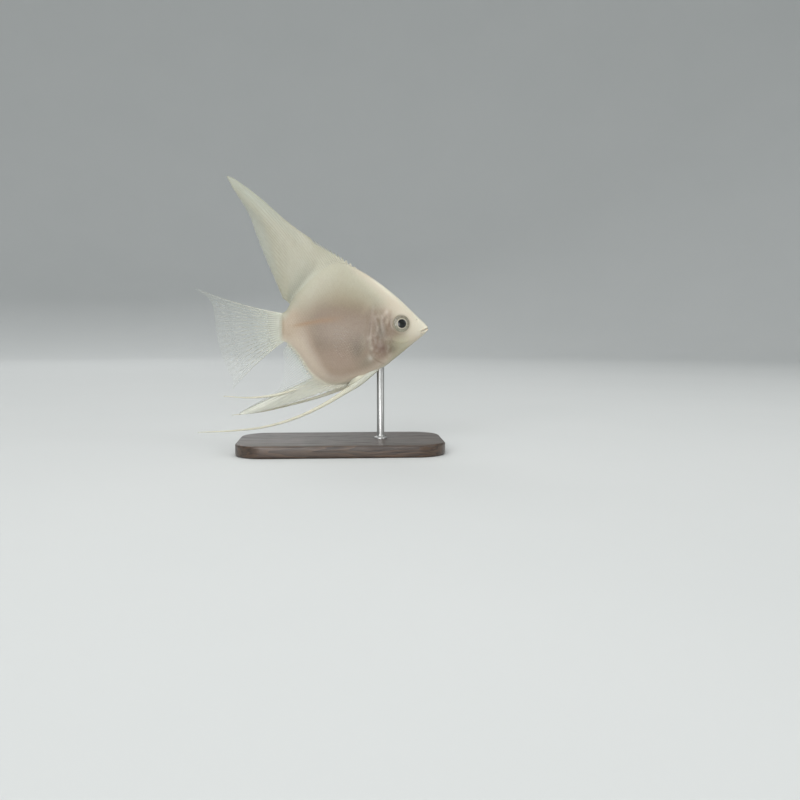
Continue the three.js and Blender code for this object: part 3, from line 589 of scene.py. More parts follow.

# Soft patches of the living colour, some of them painted shade as marked, as (x, z, length, height, tilt in
# degrees, colour, share).
PATCHES = [
    (10.7, -8.4, 3.6, 2.6, -30, linear(122, 98, 87), 0.75),  # the gills' red through the cover
    (14.4, -1.4, 2.4, 4.8, 12, linear(131, 112, 96), 0.75),  # behind and below the eye
    (15.2, 3.0, 1.5, 2.6, 0, linear(138, 122, 106), 0.55),
    (15.2, -8.0, 2.6, 2.3, -35, linear(108, 98, 80), 0.8),  # painted shade in the hollow of the cheek
    (13.2, 6.4, 3.2, 3.0, -35, linear(177, 159, 142), 0.6),  # temple
    (10.4, -2.0, 1.8, 3.4, 10, linear(130, 124, 113), 0.6),  # painted shade at the pectoral fin's base, grey under the cover
    (8.2, 4.4, 2.2, 2.4, 0, linear(149, 133, 117), 0.5),
    (0.5, -8.9, 2.4, 4.0, 8, linear(98, 90, 74), 0.62),  # the gut's shadow
    (3.5, -6.6, 1.3, 3.2, 0, linear(156, 150, 133), 0.35),
    (-6.0, -13.0, 7.0, 5.0, 10, linear(150, 130, 117), 0.4),
    (4.4, -14.2, 3.6, 2.4, 25, linear(128, 123, 107), 0.55),
    (6.0, -7.0, 0.8, 3.8, -6, linear(172, 166, 151), 0.4),  # the pale edge of the gill cover, in flecks
    (5.4, -4.4, 0.9, 1.0, 0, linear(180, 174, 160), 0.45),
    (6.7, -8.8, 0.7, 1.2, 0, linear(184, 178, 164), 0.4),
    (6.2, -12.4, 1.1, 1.2, 0, linear(196, 192, 180), 0.6),
    (4.9, 8.2, 0.9, 3.8, -38, linear(168, 158, 136), 0.35),  # shoulder arc
    (12.4, 2.4, 0.9, 1.8, -10, linear(164, 149, 134), 0.35),
    (13.0, 5.4, 0.8, 1.3, 10, linear(188, 173, 159), 0.5),
    (18.4, -7.6, 4.2, 2.6, -35, linear(172, 168, 142), 0.5),  # lower jaw
    (-21.0, 9.5, 3.2, 6.5, 32, linear(163, 157, 136), 0.45),
    (-24.6, 11.2, 1.3, 3.6, 28, linear(152, 153, 137), 0.35),  # thin flesh before the tail stalk
    (-9.5, 4.6, 11.5, 5.4, 4, linear(114, 91, 63), 0.62),  # dark flesh along the spine
    (-9.5, -20.8, 4.2, 1.8, 0, linear(176, 164, 150), 0.4),
]
# The spine shows through as a line, as [x, z].
SPINE_LINE = [[-30, -0.4], [-22.6, 1.0], [-14.4, 2.5], [-4.1, 3.7], [4, 4.4]]
# Where the crown's cream begins, as [z, x].
CREAM_FRONT = [
    [26, 0], [21, 3.5], [16, 8.6], [11, 13.0], [6, 16.2], [2, 21.0], [-3, 22.4], [-8, 24.5], [-14, 27],
]
spine_z, cream_front_x = line_through(SPINE_LINE), line_through(CREAM_FRONT)


def patch_share(x, z, centre_x, centre_z, length, height, tilt):
    """A bell of the distance from a patch's centre in its own turned and stretched axes."""
    c, s = np.cos(np.radians(tilt)), np.sin(np.radians(tilt))
    dx, dz = x - centre_x, z - centre_z
    return np.exp(-(((c * dx + s * dz) / length) ** 2 + ((c * dz - s * dx) / height) ** 2))


def disc_colour(x, z, from_back):
    """The disc's colour from its level, pinker towards the tail and white at the stalk's end, with
    paler rims by the distance from the outlines, an olive jaw, and the line of the spine and the soft
    patches laid over."""
    colour = np.broadcast_to(DISC_MIDDLE, x.shape + (3,))
    colour = lay(colour, DISC_LOWER, smooth_step(-6, -16, z))
    colour = lay(colour, DISC_UPPER, smooth_step(4, 13, z))
    along = on_body(x)
    from_belly = z - belly_z(along)
    colour = lay(colour, STALK_PINK, smooth_step(-14, -27, x))
    rim = mix(5, 19, smooth_step(-28, -17, x))
    colour = lay(colour, NAPE_CREAM, smooth_step(rim, 0.1 * rim, from_back))
    rim = mix(5.5, 19, smooth_step(-8.5, -19.5, x)) * mix(0.2, 1, smooth_step(-28, -20, x))
    colour = lay(colour, BELLY_RIM, 0.85 * smooth_step(rim, 0.2 * rim, from_belly))
    colour = lay(colour, BELLY_EDGE, 0.8 * smooth_step(1.9, 0.1, from_belly) * smooth_step(17, 12, x))
    colour = lay(colour, STALK_WHITE, 0.95 * smooth_step(-29.2, -30.2, x))
    line = bell(z - spine_z(along), 0.5 + 0.034 * (along - STALK_END_X))
    line = line * smooth_step(-3, -13, x) * smooth_step(-28, -19, x)
    colour = lay(colour, SPINE_RED, 0.65 * line)
    colour = lay(colour, JAW_OLIVE, smooth_step(11, 17, x) * smooth_step(-1, -6, z) * 0.8)
    for *form, shade, share in PATCHES:
        colour = lay(colour, shade, share * patch_share(x, z, *form))
    return colour


def skin_tint(x, z):
    """The body's tint in side view: the disc, cream ahead of the crown's line, a painted highlight along
    the crown's top edge, painted shade in the cleft of the lips and in the slit behind the gill cover's
    margin, and darker round the eye. The fourth value says where the cheek is blotched."""
    x, z = np.broadcast_arrays(x, z)
    from_back = back_z(on_body(x)) - z
    colour = disc_colour(x, z, from_back)
    ahead = x - cream_front_x(z)
    colour = lay(colour, CROWN_CREAM, smooth_step(-6.0, 4.0, ahead))
    colour = lay(colour, SNOUT_CREAM, smooth_step(20, 27, x) * smooth_step(-5, 0, z))
    # painted highlight along the crown's top edge, as lit from above
    colour = lay(colour, CROWN_PAINTED_HIGHLIGHT, 0.8 * smooth_step(3.4, 0.3, from_back) * smooth_step(4, 12, x))
    # painted shade in the cleft between the lips, along the same line as the relief's cleft
    to_mouth = distance_to_segment(x, z, MOUTH_FRONT, MOUTH_CORNER)
    colour = lay(colour, linear(172, 156, 138), 0.6 * bell(to_mouth, 0.2))
    # painted shade in the slit just behind the gill cover's margin
    margin = bell(x - gill_margin_x(z) + 0.3, 0.3) * smooth_step(8.5, 6, z) * smooth_step(-17, -14, z)
    colour = lay(colour, linear(140, 122, 106), 0.3 * margin)
    from_eye = np.hypot(x - EYE_X, z - EYE_Z)
    colour = lay(colour, linear(158, 150, 132), 0.35 * bell(from_eye - 3.6, 0.5))
    blotched = smooth_step(4.6, 7.0, x) * smooth_step(18.0, 13.5, x)
    blotched = blotched * smooth_step(-14, -10, z) * smooth_step(9, 4, z)
    return np.concatenate([colour, (blotched * smooth_step(3.8, 5.2, from_eye))[..., None]], axis=-1)


SKIN_TURNS = 290


def fish_skin():
    """The body's whole skin from snout to tail. Stations are even, and crowd on a circle over the
    snout; turns crowd towards the flanks, so that the faces are about as long as they are tall."""
    snout = SNOUT_X - SNOUT_ROUND + SNOUT_ROUND * np.cos(np.linspace(0.02, np.pi / 2, 22, endpoint=False))
    head = np.linspace(SNOUT_X - SNOUT_ROUND, 11, 140, endpoint=False)
    body = np.concatenate([head, np.linspace(11, STALK_END_X - 0.4, 170)])
    tail = STALK_END_X - 0.4 - 0.3 * np.sin(np.linspace(0, np.pi / 2, 5)[1:])
    x = np.concatenate([snout, body, tail])[:, None]
    even = circle(SKIN_TURNS)[None, :]
    turn = even + 0.6 * np.sin(2 * even) / 2
    rings = skin_at(x, turn)
    return tube_patch(rings, skin_tint(rings[..., 0], rings[..., 2]))


# ---------------------------------------------------------------- scales

SCALE_LENGTH, SCALE_ROW = 1.1, 0.9  # from scale to scale along a row, and from row to row
SCALE_LIFT = 0.03  # how far a rear edge stands off the next scale
SCALE_UNDER, SCALE_POINT = -0.08, -0.2  # lift of a plate's lower edge and of the point that closes it
PLATE_LONG, PLATE_TALL = 1.04, 1.08  # a plate's radius over the step along a row, and from row to row
SCALE_SIDES = 10
SCALES_FROM_X = 18.5  # where the rows start


def turn_table():
    """For the left side, the turn at which the skin lies at a given distance over its widest level:
    cumulative lengths round each station, read backwards."""
    xs = np.linspace(STALK_END_X, 29, 240)
    turns = np.linspace(0, np.pi, 400)
    ring = plain_skin(xs[:, None], turns[None, :])
    steps = np.linalg.norm(np.diff(ring, axis=1), axis=-1)
    length = np.concatenate([np.zeros((len(xs), 1)), np.cumsum(steps, axis=1)], axis=1)
    level = length - length[:, [len(turns) // 2]]
    rises = np.linspace(-32, 32, 257)
    table = np.stack([np.interp(rises, level[i], turns) for i in range(len(xs))])
    return xs, rises, table


def turn_for(x, rise, table):
    """The table read between its places in both directions."""
    xs, rises, values = table
    u = np.clip((x - xs[0]) / (xs[1] - xs[0]), 0, len(xs) - 1.001)
    v = np.clip((rise - rises[0]) / (rises[1] - rises[0]), 0, len(rises) - 1.001)
    i, j = u.astype(int), v.astype(int)
    a, b = u - i, v - j
    return (
        values[i, j] * (1 - a) * (1 - b) + values[i + 1, j] * a * (1 - b)
        + values[i, j + 1] * (1 - a) * b + values[i + 1, j + 1] * a * b
    )


def scale_seats(rng, table):
    """Station, distance over the widest level and height of each scale's middle: rows from behind the
    eye to the tail stalk, every second row half a step back. Places near the keels of back and belly,
    the eye, the gill margin and the cream head stay free."""
    rows, places = np.meshgrid(np.arange(-38, 39), np.arange(0, 46), indexing="ij")
    x = SCALES_FROM_X - SCALE_LENGTH * (places + 0.5 * (rows % 2)) + rng.normal(0, 0.012, rows.shape)
    rise = SCALE_ROW * rows + rng.normal(0, 0.01, rows.shape)
    turn = turn_for(x, rise, table)
    z = plain_skin(x, turn)[..., 2]
    from_eye = np.hypot(x - EYE_X, z - EYE_Z)
    kept = (turn > 0.12) & (turn < np.pi - 0.12) & (x > STALK_END_X + 0.4) & (from_eye > 5.2)
    kept &= (x < cream_front_x(z) - 1.0) & (np.abs(x - gill_margin_x(z) + 0.1) > 0.45)
    return x[kept], rise[kept], z[kept]


def plate_form():
    """One plate's points: their share of its radius, their places along and across it, and their lift.
    They are a middle point and four rings: half way out, just inside the edge, the edge, and the edge
    again under the skin, where it is closed by a deeper middle point. The radius is a little over the
    step to the next scale, so the plates lie over one another."""
    around = 2 * np.pi * np.arange(SCALE_SIDES) / SCALE_SIDES
    radius = np.concatenate([[0.0], np.repeat([0.5, 0.93, 1.0, 1.0], SCALE_SIDES), [0.0]])
    angle = np.concatenate([[0.0], np.tile(around, 4), [0.0]])
    a = -radius * np.cos(angle) * SCALE_LENGTH * PLATE_LONG
    b = radius * np.sin(angle) * SCALE_ROW * PLATE_TALL
    backward = (1 - a / SCALE_LENGTH) / 2
    lift = mix(-0.05, SCALE_LIFT, backward) + 0.006 * (1 - radius**2)
    lift[-1 - SCALE_SIDES:-1] = SCALE_UNDER
    lift[-1] = SCALE_POINT
    return radius, a, b, lift


def plate_faces(count, points_each):
    """Quads between the rings of every plate, and fans of triangles over its two middle points."""
    first = points_each * np.arange(count)[:, None, None]
    ring = 1 + np.arange(SCALE_SIDES)
    onward = np.roll(ring, -1)
    last = 3 * SCALE_SIDES
    upper = np.stack([0 * ring, onward, ring], axis=-1)
    under = np.stack([0 * ring + points_each - 1, ring + last, onward + last], axis=-1)
    bands = np.stack([ring, onward, onward + SCALE_SIDES, ring + SCALE_SIDES], axis=-1)
    bands = np.concatenate([bands + SCALE_SIDES * k for k in range(3)])
    return first + bands, first + np.concatenate([upper, under])


def scale_coat(side):
    """The scales of one side: round plates, each sunk at its front and lifted a little over the next at
    its rear edge. They are smaller on the cheek, the gill cover and the tail stalk, and darker in a row
    along the lateral line."""
    rng = np.random.default_rng(7 if side > 0 else 8)
    table = turn_table()
    x, rise, z = scale_seats(rng, table)
    size = rng.normal(1, 0.012, x.shape)
    size = size * mix(0.72, 1, smooth_step(9, 6, x)) * mix(0.75, 1, smooth_step(-29, -24, x))
    radius, a, b, lift = plate_form()
    spread = size[:, None]
    place_x, place_rise = x[:, None] + a * spread, rise[:, None] + b * spread
    tilt = rng.normal(0, 0.0012, x.shape)[:, None] * b
    points = skin_at(place_x, turn_for(place_x, place_rise, table), lift * spread + tilt)
    points[..., 1] *= side
    tint = skin_tint(points[..., 0], points[..., 2])
    shade = (1 + rng.normal(0, 0.010, x.shape))[:, None] * (1 + 0.03 * (radius - 0.5))[None, :]
    tint[..., :3] *= shade[..., None]
    pored = np.abs(z - lateral_line_z(x)) < 0.5
    tint[pored, 0, :3] *= 0.88
    quads, fan = plate_faces(len(x), len(radius))
    if side > 0:
        quads, fan = quads[..., ::-1], fan[..., ::-1]
    root = np.stack([(x + 31) / 62, 0.5 + rise / 64], axis=-1)[:, None, :]
    bake = root + 0.0015 * np.stack([a / SCALE_LENGTH, b / SCALE_ROW], axis=-1)
    return Patch(points, quads, fan, tint.reshape(-1, 4), bake=bake.reshape(-1, 2))


def lateral_line_z(x):
    """The lateral line: high along the back as far as under the soft dorsal fin, then along the stalk's
    middle."""
    high = mix(back_z(on_body(x)), widest_z(on_body(x)), 0.36)
    return np.where(x > -15, high, 0.4 + 0 * x)


# ---------------------------------------------------------------- eyes

SEAT_RADIUS = 3.9  # of the ring of skin that an eye stands square on


def eye_seat():
    """The plane through the skin round the eye, by least squares: its middle, and its axes to the
    snout, up and out."""
    angle = circle(48)
    dx, dz = SEAT_RADIUS * np.cos(angle), SEAT_RADIUS * np.sin(angle)
    system = np.column_stack([np.ones(len(angle)), dx, dz])
    out, by_x, by_z = np.linalg.lstsq(system, flank_y(EYE_X + dx, EYE_Z + dz), rcond=None)[0]
    forward = np.array([1, by_x, 0]) / np.hypot(1, by_x)
    outward = np.array([-by_x, 1, -by_z]) / np.sqrt(1 + by_x**2 + by_z**2)
    return np.array([EYE_X, out, EYE_Z]), forward, np.cross(forward, outward), outward


def eye_profile():
    """Distance from the eye's axis and height along it: a flat ball, with the lens swelling out of the
    pupil, a low ring round it and a last ring sunk in the socket."""
    rho = np.concatenate([
        np.linspace(0.03, PUPIL_RADIUS - 0.06, 16), PUPIL_RADIUS + np.linspace(-0.03, 0.15, 7),
        np.linspace(PUPIL_RADIUS + 0.2, EYE_RADIUS - 0.12, 34), EYE_RADIUS - np.array([0.07, 0.03, 0.01]),
    ])
    ball = EYE_BULGE - EYE_DEPTH + EYE_DEPTH * np.sqrt(1 - (rho / EYE_RADIUS) ** 2)
    dome = np.sqrt(np.maximum(0, 1 - (rho / PUPIL_RADIUS) ** 2))
    lens = 0.05 * dome - 0.05 * bell(rho - PUPIL_RADIUS, 0.06)
    ring = 0.04 * bell(rho - 2.0, 0.18) - 0.02 * bell(rho - 2.5, 0.2)
    return np.append(rho, EYE_RADIUS - 0.01), np.append(ball + lens + ring, EYE_BULGE - EYE_DEPTH - 0.5)


def eye_tint(r, a):
    """Black pupil, bright ring and grey iris, darker above by painted shade and paler below by painted
    light. The last value is how much of the iris's pattern shows."""
    upper, lower = smooth_step(0.3, -0.9, np.sin(a)), smooth_step(-0.2, 0.9, np.sin(a))
    iris = np.broadcast_to(linear(131, 125, 107), r.shape + (3,))
    # painted shade darkens the iris above, and painted light pales it below
    iris = lay(iris, linear(112, 105, 90), 0.85 * upper * bell(r - 2.8, 0.7))
    iris = lay(iris, linear(144, 142, 124), 0.6 * lower)
    iris = lay(iris, linear(160, 150, 132), 0.8 * smooth_step(3.0, 3.5, r))
    wave = r * (1 + 0.015 * waviness(a, 3))
    bright = 0.5 + 0.5 * waviness(a, 21, 2)
    ring = lay(linear(162, 155, 139) + 0 * iris, linear(196, 187, 170), bright)
    colour = lay(ring, iris, smooth_step(RING_RADIUS - 0.25, RING_RADIUS + 0.3, wave))
    beyond_pupil = smooth_step(PUPIL_RADIUS - 0.07, PUPIL_RADIUS + 0.05, r)
    colour = lay(linear(24, 26, 24) + 0 * iris, colour, beyond_pupil)
    pattern = smooth_step(RING_RADIUS - 0.1, RING_RADIUS + 0.3, r)
    return np.concatenate([colour, pattern[..., None]], axis=-1)


def eye_patch(side):
    """One eye: its profile turned round the axis that stands square on the skin round it."""
    rho, height = eye_profile()
    r, a = np.meshgrid(rho, circle(96), indexing="ij")
    middle, forward, upward, outward = eye_seat()
    rings = (
        middle + (r * np.cos(a))[..., None] * forward - (r * np.sin(a))[..., None] * upward
        + height[:, None, None] * outward
    ) * [1, side, 1]
    uv = np.stack([a / (2 * np.pi), r / EYE_RADIUS], axis=-1)
    return tube_patch(rings, eye_tint(r, a), uv)


# ---------------------------------------------------------------- fins

class Fin:
    """A fin's middle surface: s runs along its base from 0 at the front to 1 at the rear, and r along
    the rays. A ray is a quadratic curve from root(s) to tip(s) that leaves the body at lean(s), and
    sway(s, r) is its sideways drift. carry takes the points to their place on the fish. The first rays,
    spines in number, don't fork."""

    def __init__(self, rays, root, tip, lean, sway, carry=lambda points: points, spines=0):
        self.rays, self.root, self.tip, self.lean = rays, root, tip, lean
        self.sway, self.carry, self.spines = sway, carry, spines

    def at(self, s, r):
        s, r = np.broadcast_arrays(np.asarray(s, float), np.asarray(r, float))
        root, tip = self.root(s), self.tip(s)
        length = np.linalg.norm(tip - root, axis=-1)[..., None]
        lean = np.radians(self.lean(s))
        bend = root + 0.45 * length * np.stack([np.cos(lean), np.sin(lean)], axis=-1)
        t = r[..., None]
        flat = (1 - t) ** 2 * root + 2 * t * (1 - t) * bend + t**2 * tip
        return self.carry(np.stack([flat[..., 0], self.sway(s, r) + 0 * r, flat[..., 1]], axis=-1))

    def normal(self, s, r):
        step = 0.004
        across = self.at(np.minimum(s + step, 1), r) - self.at(np.maximum(s - step, 0), r)
        along = self.at(s, np.minimum(r + step, 1)) - self.at(s, np.maximum(r - step, 0))
        normal = np.cross(across, along)
        return normal / np.maximum(np.linalg.norm(normal, axis=-1, keepdims=True), 1e-9)

    def length(self, s):
        return np.linalg.norm(self.tip(s) - self.root(s), axis=-1)


RAGGED = 0.006  # how uneven a fin's margin is, as a share of the rays' length


def membrane(
    fin, tint, notch, half=0.07, flare=0.3, fade=2.2, per_ray=6, rows=70, seed=1, sunk=0.35, flesh=None
):
    """The fin's skin: the middle surface thickened by half on each side, and at its root by flesh or by
    flare, which falls off as exp of minus the height over fade. Its margin is drawn in between the rays
    by notch(s) and a little ragged. Between the rays it is thinner by the share sunk."""
    s = np.linspace(0, 1, per_ray * (fin.rays - 1) + 1)
    phase = 0.5 - 0.5 * np.cos(2 * np.pi * s * (fin.rays - 1))
    reach = 1 - notch(s) * phase**0.8 - RAGGED * (0.5 + 0.5 * waviness(s * 60, seed, 5)) * phase
    even = 1 - (1 - np.linspace(0, 1, rows)) ** 1.15
    s, r = s[:, None] + 0 * even[None, :], reach[:, None] * even[None, :]
    length = fin.length(s)
    middle = fin.at(s, r)
    swell = flesh(s, middle) if flesh else flare * np.exp(-(r * length) / fade)
    thick = half * (1 - 0.55 * even[None, :]) + swell * (1 - even[None, :]) ** 1.5
    hollow = 1 - sunk * phase[:, None] * smooth_step(0.0, 0.3, r)
    uv = np.stack([s * fin.rays, r * length], axis=-1)
    return sheet_patch(middle, fin.normal(s, r), thick * hollow, tint(s, r), uv)


def thread(fin, s, r, radius, tint, sides=6):
    """A round thread on the fin along places s and r, all of one length, with its radius given at each."""
    middle, normal = fin.at(s, r), fin.normal(s, r)
    ahead = np.gradient(middle, axis=0)
    ahead /= np.maximum(np.linalg.norm(ahead, axis=-1, keepdims=True), 1e-9)
    beside = np.cross(ahead, normal)
    angle = 2 * np.pi * np.arange(sides) / sides
    cosine, sine = np.cos(angle)[None, :, None], np.sin(angle)[None, :, None]
    ring = cosine * normal[:, None, :] + sine * beside[:, None, :]
    rings = middle[:, None, :] + radius[:, None, None] * ring
    run = run_along(middle)
    uv = np.stack([0 * run, run], axis=-1)[:, None, :] + np.zeros((1, sides, 1))
    return tube_patch(rings, np.repeat(tint[:, None, :], sides, axis=1), uv)


def beyond(outline, points):
    """How far places in side view lie outside an outline of the body, square to it: over the back or
    under the belly."""
    along = on_body(points[..., 0])
    outward = np.where(outline(along) > 0, 1, -1)
    return outward * (points[..., 2] - outline(along)) / np.hypot(1, slope_at(outline, along))


def fleshy_base(fin, outline, depth, fade):
    """A thickness that starts as the body's own where the fin is rooted and falls off as exp of minus
    the height over fade, so that the fin leaves the body without an edge."""
    def flesh(s, middle):
        root = fin.root(s)
        rise = beyond(outline, middle) + depth
        return 0.95 * flank_y(root[..., 0], root[..., 1]) * np.exp(-np.maximum(rise, 0) / fade)
    return flesh


def ray_ridge(fin, s):
    """1 on each of the fin's rays and 0 between them: half of one plus a cosine, cubed."""
    return (0.5 + 0.5 * np.cos(2 * np.pi * s * (fin.rays - 1))) ** 3


RAY_TIP = 0.045  # radius of a ray at its tip
FORK, SECOND_FORK, FORK_LAP = 0.5, 0.8, 0.03  # places along a ray, and how far a branch starts in its stem


def rays(fin, tint, thick, spread=0.5, steps=26, last=None):
    """The fin's rays as threads: a spine is one tapering thread, and a soft ray is a stem that forks in
    two and each branch in two again, the branches drawing apart by smooth steps of their place along
    it. last is the number of rays from the front that are made, if not all."""
    threads = []
    gap = 1 / (fin.rays - 1)
    for k in range(last or fin.rays):
        s0 = k * gap
        if k < fin.spines or k in (0, fin.rays - 1):
            r = np.linspace(0, 1.0, steps)
            s = s0 + 0 * r
            threads.append(thread(fin, s, r, mix(thick * 1.15, RAY_TIP, r**1.2), tint(s, r)))
            continue
        wide = spread * gap
        for r0, r1, offsets in (
            (0.0, FORK, [(0, 0)]),
            (FORK - FORK_LAP, SECOND_FORK, [(-1, 0), (1, 0)]),
            (SECOND_FORK - FORK_LAP, 1.0, [(-1, -1), (-1, 1), (1, -1), (1, 1)]),
        ):
            r = np.linspace(r0, r1, max(6, int(steps * (r1 - r0)) + 2))
            for first, second in offsets:
                part = first * smooth_step(FORK - FORK_LAP, 1.05, r)
                part = part + 0.5 * second * smooth_step(SECOND_FORK - FORK_LAP, 1.1, r)
                s = np.clip(s0 + wide * 0.55 * part, 0, 1)
                radius = mix(thick, RAY_TIP, r) * (0.8 if first else 1.0) * (0.85 if second else 1.0)
                threads.append(thread(fin, s, r, radius, tint(s, r)))
    return joined(threads)


def along_outline(outline, from_x, to_x, depth):
    """Points on the body's outline, sunk square to it by depth, for s from 0 to 1 by distance along it."""
    x = np.linspace(from_x, to_x, 61)
    slope = slope_at(outline, x)
    inward = np.where(outline(x) > 0, -1, 1)
    tilt = np.hypot(1, slope)
    points = np.stack([x - inward * depth * slope / tilt, outline(x) + inward * depth / tilt], axis=-1)
    length = run_along(points)
    return curve_through(np.column_stack([length / length[-1], points]))


def dorsal_sway(s, r):
    """The lobe drifts to the left as the square of r, and the rest waves a little."""
    return 2.6 * r**2 * smooth_step(0.35, 0.6, s) + 0.5 * r * np.sin(9 * s)


def anal_sway(s, r):
    """The drawn-out lobe drifts to the right as the square of r."""
    return -1.6 * r**2 * bell(s - 0.4, 0.22)


def caudal_sway(s, r):
    """The upper lobe drifts to the left and the lower one to the right, as the square of r."""
    return 1.8 * r**2 * np.cos(2.6 * s)


DORSAL_MARGIN = [
    [0, 2.2, 23.3], [0.1, -4.6, 28.1], [0.2, -10.5, 31.6], [0.3, -16.5, 35.2], [0.4, -22.6, 39.2],
    [0.46, -29, 44.2], [0.51, -39, 53], [0.55, -47.2, 59], [0.575, -51.2, 61], [0.6, -50, 57.6],
    [0.65, -46.2, 51.6], [0.72, -42.6, 45.4], [0.8, -40, 38], [0.87, -36.6, 29], [0.94, -32.6, 19.6],
    [1, -29.4, 11.8],
]
ANAL_MARGIN = [
    [0, -3.4, -24.0], [0.08, -8, -25.6], [0.17, -15, -27.4], [0.25, -23.5, -30.0], [0.32, -34, -33.2],
    [0.37, -43.5, -35.3], [0.4, -47.4, -35.2], [0.43, -44.6, -33.2], [0.48, -38.2, -29.5],
    [0.54, -32.9, -26.6], [0.6, -30.4, -23.9], [0.7, -29.3, -20.4], [0.85, -28.8, -15], [1, -29.4, -9.6],
]
CAUDAL_MARGIN = [
    [0, -65, 15.8], [0.05, -60.4, 12.6], [0.14, -58, 9.2], [0.3, -57, 3.4], [0.5, -56, -4.2],
    [0.7, -54, -12], [0.86, -51.4, -18.2], [0.95, -49.6, -21.8], [1, -50, -25],
]

DORSAL_SPINES, DORSAL_RAYS = 12, 37
ANAL_SPINES, ANAL_RAYS = 6, 32

dorsal = Fin(
    DORSAL_RAYS, along_outline(back_z, 2.6, -27.2, DORSAL_DEPTH), curve_through(DORSAL_MARGIN),
    line_through([[0, 128], [0.2, 124], [0.45, 120], [0.6, 116], [0.8, 110], [1, 104]]), dorsal_sway,
    spines=DORSAL_SPINES,
)
anal = Fin(
    ANAL_RAYS, along_outline(belly_z, -1.4, -27.2, ANAL_DEPTH), curve_through(ANAL_MARGIN),
    line_through([[0, 212], [0.3, 206], [0.5, 207], [0.7, 212], [1, 222]]), anal_sway, spines=ANAL_SPINES,
)
caudal = Fin(
    CAUDAL_RAYS, lambda s: np.stack([CAUDAL_ROOT_X + 0 * s, mix(TAIL_TOP, TAIL_FOOT, s)], axis=-1),
    curve_through(CAUDAL_MARGIN), caudal_lean, caudal_sway,
)

FIN_CREAM = linear(163, 160, 141)
FIN_LOBE = linear(171, 174, 158)
FIN_BAND = linear(188, 188, 173)
FIN_GREEN = linear(148, 154, 137)
FIN_CLEAR = linear(188, 194, 180)
RAY_WHITE = linear(226, 227, 212)
CAUDAL_WHITE = linear(194, 195, 181)
PADDLE_CLEAR = linear(184, 170, 152)


def fin_tint(colours, solid):
    """Colours laid over the first by their shares, with the solidity as the fourth value."""
    total = colours[0][0] + 0 * solid[..., None]
    for colour, share in colours[1:]:
        total = lay(total, colour, share)
    return np.concatenate([total, np.clip(solid, 0, 1)[..., None]], axis=-1)


def dorsal_tint(s, r):
    """Cream and nearly solid, thinner in the lobe, clear at the rear margin, and greenish where the fin
    leaves the body's rear slope."""
    lobe = bell(s - 0.545, 0.07) * smooth_step(0.45, 0.8, r)
    clear = smooth_step(0.6, 0.68, s) * smooth_step(0.97, 0.85, s) * smooth_step(0.62, 0.95, r)
    places = dorsal.at(s, r)
    off_body = beyond(back_z, places)
    thin = smooth_step(0.36, 0.74, s) * smooth_step(mix(9.0, 4.4, s), 0.6, off_body)
    skin = smooth_step(mix(7.0, 1.2, smooth_step(0.3, 0.55, s)), -0.6, off_body)
    solid = 0.97 - 0.14 * lobe - 0.4 * clear - 0.16 * thin - 0.12 * smooth_step(0.8, 1, r)
    return fin_tint(
        [(FIN_CREAM, 1), (FIN_LOBE, lobe), (FIN_GREEN, 0.45 * thin), (FIN_CLEAR, 0.5 * clear),
         (skin_tint(places[..., 0], places[..., 2])[..., :3], skin)],
        mix(solid, 1, skin),
    )


def anal_tint(s, r):
    """A pale front band with bright edges, and clear skin above it that is milky at the body."""
    band = smooth_step(0.45, 0.385, s)
    places = anal.at(s, r)
    off_body = beyond(belly_z, places)
    edge = bell(s - 0.40, 0.03) * smooth_step(0.2, 0.5, r) + bell(s - 0.02, 0.04)
    clear = 0.04 + 0.5 * np.exp(-np.maximum(off_body, 0) / 1.7) + 0.10 * ray_ridge(anal, s) * (1 - 0.6 * r)
    skin = smooth_step(mix(2.0, 3.2, band), -0.6, off_body)
    solid = mix(clear, 0.86 - 0.15 * smooth_step(0.8, 1, r), band) + 0.2 * edge
    return fin_tint(
        [(FIN_CLEAR, 1), (FIN_BAND, band), (RAY_WHITE, 0.7 * np.minimum(edge, 1)),
         (skin_tint(places[..., 0], places[..., 2])[..., :3], skin)],
        mix(solid, 1, smooth_step(0.6, -0.4, off_body)),
    )


def caudal_tint(s, r):
    """Milky over the fleshy base, then nearly clear, with both outer edges a little more solid."""
    edge = bell(s, 0.05) + bell(s - 1, 0.05)
    solid = 0.06 + 0.76 * bell(r, 0.20) + 0.22 * bell(r, 0.42) + 0.12 * edge * (1 - r)
    return fin_tint([(FIN_CLEAR, 1), (STALK_WHITE, bell(r, 0.25))], solid)


def ray_tint(near, far, colour=RAY_WHITE):
    """Rays solid near the body and fainter to their tips, the outer rays of the fan staying brighter."""
    def tint(s, r):
        edge = bell(s, 0.04) + bell(s - 1, 0.04)
        return fin_tint([(colour, 1)], mix(near, far, r**0.8) + 0.3 * edge * (1 - 0.5 * r))
    return tint


def anal_ray_tint(s, r):
    """Rays bright in the front band and nearly clear behind it."""
    band = smooth_step(0.46, 0.38, s)
    return fin_tint([(FIN_BAND, 1)], mix(0.05, 0.85 - 0.35 * r, band))


